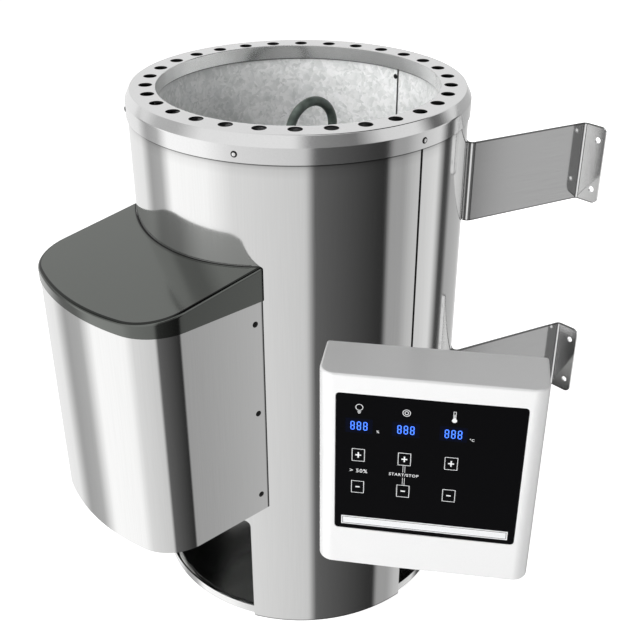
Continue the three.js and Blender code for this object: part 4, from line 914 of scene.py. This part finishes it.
class HEATER_OT_hardware(bpy.types.Operator):
    """Screws, glands, limiter and wall brackets"""

    bl_idname = "heater.hardware"
    bl_label = "Hardware"

    def execute(self, context):
        for node in sorted(frame["nodes"]):
            if "_screw_" in node:
                self.screw(node)
            elif node.startswith("bracket_"):
                dress(node, node, 0.0004)
            elif "gland" in node:
                dress(node, "black", 0.0004)
        dress("thermal_limiter", "sheet")
        dress("limiter_nut", "sheet")
        dress("reset_button", "red", 0.0004)
        return {"FINISHED"}

    def screw(self, node):
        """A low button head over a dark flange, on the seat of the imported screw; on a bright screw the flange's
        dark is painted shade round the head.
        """
        s = sizes()
        low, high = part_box(node)
        middle = (low + high) / 2
        if node.startswith("box_"):
            out = Vector((math.copysign(1, middle.x), 0, 0))
            seat = Vector((out.x * s.box_half, middle.y, middle.z))
        else:
            out = Vector((middle.x, middle.y, 0)).normalized()
            grip = s.strap if node.startswith("bracket_") else s.sheet
            seat = out * (s.shell_radius + s.clearance + grip) + Vector((0, 0, middle.z))
        r = s.screw_radius
        profile = [
            (0, 0.34 * r),
            (0.3 * r, 0.32 * r),
            (0.55 * r, 0.26 * r),
            (0.62 * r, 0.12 * r),
            (0.92 * r, 0.10 * r),
            (r, 0.06 * r),
            (r, 0.01 * r),
            (s.screw_shank, 0.01 * r),
            (s.screw_shank, -s.screw_length),
            (0, -s.screw_length),
        ]
        bm = spun(profile, 20)
        bmesh.ops.recalc_face_normals(bm, faces=bm.faces)
        for face in bm.faces:
            # The outer faces take the second finish: on a bright screw, painted shade round the head.
            face.material_index = int(face.calc_center_median().xy.length > 0.57 * r)
        turn = Vector((0, 0, 1)).rotation_difference(out).to_matrix().to_4x4()
        bmesh.ops.transform(bm, matrix=Matrix.Translation(seat) @ turn, verts=bm.verts)
        finish = "screw" if node.startswith("box_") else "bolt"
        head = piece(node + "_head", bm, finish, [node])
        head.data.materials.append(finishes()["screw"])


def control_place():
    """The control unit's own frame: width X, front at -Y, height Z."""
    s = sizes()
    turn = Matrix.Rotation(s.control_turn, 4, "Z")
    return Matrix.Translation((s.control_x, s.control_y, s.control_z)) @ turn


class HEATER_OT_control_case(bpy.types.Operator):
    """White hood, black ribbed housing and the boards of the control unit"""

    bl_idname = "heater.control_case"
    bl_label = "Control case"

    def execute(self, context):
        dress("control_hood", "hood", 0.0012)
        dress("control_body", "black", 0.0003)
        dress("control_wall_plate", "sheet", 0.0003)
        dress("control_board", "black", 0.0002)
        dress("power_board", "board", 0.0002)
        return {"FINISHED"}


def flat_sign(bm, points):
    """A flat polygon of (x, z) points in the panel's plane."""
    bm.faces.new([bm.verts.new((x * MM, 0, z * MM)) for x, z in points])


def bar(bm, x0, z0, x1, z1):
    flat_sign(bm, [(x0, z0), (x1, z0), (x1, z1), (x0, z1)])


def upright_at(x, z):
    return Matrix.Translation((x * MM, 0, z * MM)) @ Matrix.Rotation(math.pi / 2, 4, "X")


def disc_sign(bm, x, z, radius, sides=28):
    place = upright_at(x, z)
    bmesh.ops.create_circle(bm, cap_ends=True, segments=sides, radius=radius * MM, matrix=place)


def ring_sign(bm, x, z, outer, inner, sides=28):
    place = upright_at(x, z)
    rings = []
    for r in (outer, inner):
        made = bmesh.ops.create_circle(bm, segments=sides, radius=r * MM, matrix=place)
        rings += list({e for v in made["verts"] for e in v.link_edges})
    bmesh.ops.bridge_loops(bm, edges=rings)


def frame_sign(bm, x, z, w, h, line):
    """The outline of a box."""
    loops = []
    for inset in (0, line):
        half_w, half_h = w / 2 - inset, h / 2 - inset
        signs = ((-1, -1), (1, -1), (1, 1), (-1, 1))
        verts = [bm.verts.new(((x + i * half_w) * MM, 0, (z + j * half_h) * MM)) for i, j in signs]
        loops += [bm.edges.new(pair) for pair in zip(verts, verts[1:] + verts[:1])]
    bmesh.ops.bridge_loops(bm, edges=loops)


def words(bm, text, size, x, z):
    """Adds lettering as flat faces."""
    curve = bpy.data.curves.new("lettering", "FONT")
    curve.body = text
    curve.size = size * MM
    curve.align_x = "CENTER"
    curve.align_y = "CENTER"
    curve.resolution_u = 3
    curve.offset = 0.00004
    curve.space_character = 1.15
    holder = bpy.data.objects.new("lettering", curve)
    bpy.context.scene.collection.objects.link(holder)
    bpy.context.view_layer.update()
    mesh = bpy.data.meshes.new_from_object(holder.evaluated_get(bpy.context.evaluated_depsgraph_get()))
    known = set(bm.verts)
    bm.from_mesh(mesh)
    fresh = [v for v in bm.verts if v not in known]
    bmesh.ops.transform(bm, matrix=upright_at(x, z), verts=fresh)
    bpy.data.objects.remove(holder)
    bpy.data.curves.remove(curve)
    bpy.data.meshes.remove(mesh)


def sign_piece(name, bm, finish, depth, body=ROOT):
    """Places flat signs on the panel, facing forward, with a hair of thickness."""
    s = sizes()
    for f in bm.faces:
        f.normal_update()
        if f.normal.y > 0:
            f.normal_flip()
    place = control_place() @ Matrix.Translation((0, -s.panel_front - depth, s.panel_middle))
    bmesh.ops.transform(bm, matrix=place, verts=bm.verts)
    return piece(name, bm, finish, body=body, wall=0.00006)


COLUMNS = (("light", -57.0), ("timer", -19.0), ("heat", 19.0))
# The control unit hangs apart from the stove, so the stove's steel doesn't mirror it
UNMIRRORED = ("control_", "power_board", "display_", "key_", "film_", "digits_", "sign_", "panel_signs", "bare_strip")


class HEATER_OT_control_panel(bpy.types.Operator):
    """Dark panel with lit displays, keys and printed signs"""

    bl_idname = "heater.control_panel"
    bl_label = "Control panel"

    def execute(self, context):
        s = sizes()
        hair = 0.0001
        dress("control_panel", "glass", 0)
        for name, x in COLUMNS:
            dress("display_" + name, "window", 0)
            bm = bmesh.new()
            bar(bm, x - 11, 38.8 - 7, x + 11, 38.8 + 7)
            sign_piece("film_" + name, bm, "window", hair)
            bm = bmesh.new()
            for k in (-1, 0, 1):
                self.digit(bm, x + 5.2 * k, 38.8, 3.6, 8.4, 0.9)
            sign_piece("digits_" + name, bm, "digits", 2 * hair)
            for sign, z in (("plus", 9.7), ("minus", -23.3)):
                node = f"key_{name}_{sign}"
                dress(node, "glass", 0.0003)
                bm = bmesh.new()
                frame_sign(bm, x, z, 10.6, 12.6, 0.45)
                half = 2.4 if sign == "plus" else 1.8
                bar(bm, x - half, z - 0.6, x + half, z + 0.6)
                if sign == "plus":
                    bar(bm, x - 0.6, z + 0.6, x + 0.6, z + 2.8)
                    bar(bm, x - 0.6, z - 2.8, x + 0.6, z - 0.6)
                sign_piece("sign_" + node, bm, "ink", s.key_proud + hair, node)
        bm = bmesh.new()
        self.icons(bm)
        sign_piece("panel_signs", bm, "ink", hair)
        bm = bmesh.new()
        bar(bm, -70.4, -64.6, 70.4, -55.6)
        sign_piece("bare_strip", bm, "ink", hair)
        bm = bmesh.new()
        frame_sign(bm, 0, -60.1, 138.8, 7.0, 0.4)
        sign_piece("bare_strip_line", bm, "black", 2 * hair)
        for obj in context.scene.objects:
            if obj.name.startswith(UNMIRRORED):
                obj.visible_glossy = False
        return {"FINISHED"}

    def digit(self, bm, x, z, w, h, t):
        """The figure eight of a seven-segment display."""
        for level in (-1, 0, 1):
            y = z + level * (h - t) / 2
            self.segment(bm, x - w / 2 + t * 0.6, y, x + w / 2 - t * 0.6, y, t)
        for side in (-1, 1):
            for level in (-1, 1):
                e = x + side * (w - t) / 2
                mid = z + level * (h - t) / 4
                reach = (h - t) / 4 - t * 0.15
                self.segment(bm, e, mid - reach, e, mid + reach, t)

    def segment(self, bm, x0, z0, x1, z1, t):
        """A bar with pointed ends between two points on a line."""
        along = Vector((x1 - x0, z1 - z0)).normalized() * t / 2
        side = Vector((-along.y, along.x)) * 0.85
        a, b = Vector((x0, z0)), Vector((x1, z1))
        points = [a, a + along - side, b - along - side, b, b - along + side, a + along + side]
        flat_sign(bm, [(p.x, p.y) for p in points])

    def icons(self, bm):
        z = 55.2
        lamp, dial, heat = (x for _, x in COLUMNS)
        ring_sign(bm, lamp, z + 1.6, 3.1, 2.6)
        bar(bm, lamp - 1.4, z - 2.5, lamp + 1.4, z - 2.0)
        bar(bm, lamp - 1.2, z - 3.5, lamp + 1.2, z - 3.0)
        bar(bm, lamp - 0.8, z - 4.4, lamp + 0.8, z - 4.0)
        ring_sign(bm, dial, z, 3.3, 2.8)
        ring_sign(bm, dial, z, 1.7, 1.2)
        frame_sign(bm, heat, z + 2.0, 2.2, 6.6, 0.4)
        disc_sign(bm, heat, z - 3.3, 2.0)
        bar(bm, heat - 0.35, z - 0.9, heat + 0.35, z + 2.4)
        words(bm, "> 50%", 5.3, lamp + 0.4, -6.8)
        words(bm, "START/STOP", 3.9, dial, -6.8)
        for x in (dial - 0.8, dial + 0.8):
            bar(bm, x - 0.17, -4.0, x + 0.17, 3.3)
            bar(bm, x - 0.17, -17.0, x + 0.17, -9.6)
        words(bm, "%", 3.4, lamp + 15.4, 34.4)
        words(bm, "\u00b0C", 3.4, heat + 15.0, 34.4)


# The studio's cards and black flags that polished steel mirrors, low, high and overhead:
# from and to in degrees from the front, and the brightness at either end; between two, it fades
LOW_CARDS = (
    (-90, -80, 0.95, 0.95),
    (-68, -55, 0.42, 0.50),
    (-45, -15, 1.20, 1.15),
    (5, 53, 0.85, 0.72),
    (59, 108, 0.13, 0.03),
    (112, 122, 0.40, 0.40),
    (132, 154, 0.64, 0.85),
    (163, 168, 0.07, 0.07),
    (174, 200, 0.45, 0.55),
    (214, 270, 0.85, 0.95),
)
HIGH_CARDS = (
    (-90, -66, 0.85, 0.85),
    (-55, -37, 0.55, 0.52),
    (-19, 46, 0.93, 0.93),
    (57, 88, 0.30, 0.20),
    (107, 133, 0.80, 0.88),
    (146, 153, 0.13, 0.17),
    (165, 270, 0.82, 0.85),
)
TOP_CARDS = (
    (-90, 95, 0.90, 0.90),
    (118, 225, 0.04, 0.04),
    (245, 270, 0.85, 0.90),
)


def seen_directly(owner):
    """A socket that is 1 for rays from the camera, and through gloss or glass, and else 0."""
    nodes, links = owner.node_tree.nodes, owner.node_tree.links
    path = nodes.new("ShaderNodeLightPath")
    seen = path.outputs["Is Camera Ray"]
    for ray in ("Is Glossy Ray", "Is Transmission Ray"):
        either = nodes.new("ShaderNodeMath")
        either.operation = "MAXIMUM"
        links.new(seen, either.inputs[0])
        links.new(path.outputs[ray], either.inputs[1])
        seen = either.outputs[0]
    return seen


class HEATER_OT_stage(bpy.types.Operator):
    """Floor, soft light and the camera"""

    bl_idname = "heater.stage"
    bl_label = "Stage"

    def execute(self, context):
        scene = context.scene
        scene.view_settings.view_transform = "Standard"
        self.floor(scene)
        self.world(scene)
        self.lamp(scene, "key_lamp", (-0.50, -1.85, 0.80), 1.2, 29)
        self.lamp(scene, "fill_lamp", (1.70, -1.05, 0.65), 1.1, 16)
        self.lamp(scene, "back_lamp", (-0.7, 1.9, 0.8), 1.2, 16)
        self.chamber_lamp(scene)
        self.surround(scene, "low_cards", -90, 8, LOW_CARDS)
        self.surround(scene, "high_cards", 8, 43, HIGH_CARDS)
        self.surround(scene, "top_cards", 43, 90, TOP_CARDS)
        self.camera(scene)
        return {"FINISHED"}

    def floor(self, scene):
        bm = bmesh.new()
        bmesh.ops.create_circle(bm, cap_ends=True, segments=64, radius=6)
        mesh = bpy.data.meshes.new("floor")
        bm.to_mesh(mesh)
        bm.free()
        obj = bpy.data.objects.new("floor", mesh)
        obj.location.z = -0.001
        scene.collection.objects.link(obj)
        finish = Finish("studio_floor", colours().floor, 0.0, 0.9)
        grain = finish.noise(3)
        finish.colour_from(finish.ramp(grain, *shades(colours().floor, 0.01)))
        finish.shader.inputs["Emission Color"].default_value = (0.85, 0.85, 0.85, 1)
        finish.links.new(seen_directly(finish.material), finish.shader.inputs["Emission Strength"])
        mesh.materials.append(finish.material)
        obj.visible_glossy = False

    def world(self, scene):
        world = bpy.data.worlds.new("studio")
        scene.world = world
        world.use_nodes = True
        nodes, links = world.node_tree.nodes, world.node_tree.links
        back = nodes["Background"]
        back.inputs["Color"].default_value = (1, 1, 1, 1)
        level = nodes.new("ShaderNodeMapRange")
        level.inputs["To Min"].default_value = 0.17
        level.inputs["To Max"].default_value = 1.0
        links.new(seen_directly(world), level.inputs["Value"])
        links.new(level.outputs["Result"], back.inputs["Strength"])

    def lamp(self, scene, name, place, size, power):
        data = bpy.data.lights.new(name, "AREA")
        data.shape = "DISK"
        data.size = size
        data.energy = power
        obj = bpy.data.objects.new(name, data)
        obj.location = place
        aim = Vector((0, 0, 0.25)) - Vector(place)
        obj.rotation_euler = aim.to_track_quat("-Z", "Y").to_euler()
        obj.visible_glossy = False
        scene.collection.objects.link(obj)

    def chamber_lamp(self, scene):
        """A soft spot into the mouth of the stone chamber."""
        data = bpy.data.lights.new("chamber_lamp", "SPOT")
        data.energy = 60
        data.spot_size = math.radians(13)
        data.spot_blend = 0.6
        data.shadow_soft_size = 0.12
        obj = bpy.data.objects.new("chamber_lamp", data)
        obj.location = (0.08, -1.0, 1.25)
        aim = Vector((0, 0, sizes().height - 0.03)) - obj.location
        obj.rotation_euler = aim.to_track_quat("-Z", "Y").to_euler()
        obj.visible_glossy = False
        scene.collection.objects.link(obj)

    def surround(self, scene, name, low, high, cards):
        """Far cards round the stage between two elevations, seen only in gloss."""
        bm = bmesh.new()
        bmesh.ops.create_uvsphere(bm, u_segments=72, v_segments=36, radius=12)
        for elevation, way in ((low, -1), (high, 1)):
            bmesh.ops.bisect_plane(
                bm,
                geom=bm.verts[:] + bm.edges[:] + bm.faces[:],
                plane_co=(0, 0, 12 * math.sin(math.radians(elevation))),
                plane_no=(0, 0, way),
                clear_outer=True,
            )
        mesh = bpy.data.meshes.new(name)
        bm.to_mesh(mesh)
        bm.free()
        obj = bpy.data.objects.new(name, mesh)
        scene.collection.objects.link(obj)
        finish = Finish(name, (0, 0, 0), 0.0, 1.0)
        finish.shader.inputs["Specular IOR Level"].default_value = 0
        sweep = finish.nodes.new("ShaderNodeTexGradient")
        sweep.gradient_type = "RADIAL"
        finish.links.new(finish.coordinates(), sweep.inputs["Vector"])
        ramp = finish.nodes.new("ShaderNodeValToRGB")
        stops = ramp.color_ramp.elements
        stops.remove(stops[-1])
        for start, end, first, last in cards:
            for azimuth, level in ((start, first), (end, last)):
                place = (azimuth + 90) / 360
                stop = stops.new(place) if place else stops[0]
                stop.color = (level, level, level, 1)
        finish.links.new(sweep.outputs["Fac"], ramp.inputs["Fac"])
        finish.links.new(ramp.outputs["Color"], finish.shader.inputs["Emission Color"])
        finish.shader.inputs["Emission Strength"].default_value = 1
        finish.material.cycles.emission_sampling = "NONE"
        mesh.materials.append(finish.material)
        for ray in ("camera", "diffuse", "shadow", "transmission", "volume_scatter"):
            setattr(obj, "visible_" + ray, False)

    def camera(self, scene):
        data = bpy.data.cameras.new("camera")
        data.lens = 56.02
        data.sensor_width = 36
        obj = bpy.data.objects.new("camera", data)
        obj.location = (0.6555, -0.5648, 0.7416)
        azimuth, elevation = math.radians(48), math.radians(29.258)
        back = Vector(
            (
                math.sin(azimuth) * math.cos(elevation),
                -math.cos(azimuth) * math.cos(elevation),
                math.sin(elevation),
            )
        )
        obj.rotation_euler = (-back).to_track_quat("-Z", "Y").to_euler()
        scene.collection.objects.link(obj)
        scene.camera = obj


PIECES = (
    HEATER_OT_shell,
    HEATER_OT_top_ring,
    HEATER_OT_liner,
    HEATER_OT_elements,
    HEATER_OT_base,
    HEATER_OT_connection_box,
    HEATER_OT_hardware,
    HEATER_OT_control_case,
    HEATER_OT_control_panel,
    HEATER_OT_stage,
)


class HEATER_PT_panel(bpy.types.Panel):
    """Lists the pieces of the heater"""

    bl_idname = "HEATER_PT_panel"
    bl_label = "Sauna heater"
    bl_space_type = "VIEW_3D"
    bl_region_type = "UI"
    bl_category = "Heater"

    def draw(self, context):
        for operator in PIECES:
            self.layout.operator(operator.bl_idname)


CLASSES = (HeaterSizes, HeaterColours, *PIECES, HEATER_PT_panel)


def register():
    for cls in CLASSES:
        bpy.utils.register_class(cls)
    bpy.types.Scene.heater_sizes = bpy.props.PointerProperty(type=HeaterSizes)
    bpy.types.Scene.heater_colours = bpy.props.PointerProperty(type=HeaterColours)


def unregister():
    del bpy.types.Scene.heater_colours
    del bpy.types.Scene.heater_sizes
    for cls in reversed(CLASSES):
        bpy.utils.unregister_class(cls)


def main():
    register()
    for operator in PIECES:
        group, name = operator.bl_idname.split(".")
        getattr(getattr(bpy.ops, group), name)()
    bpy.context.view_layer.update()


if __name__ == "__main__":
    main()
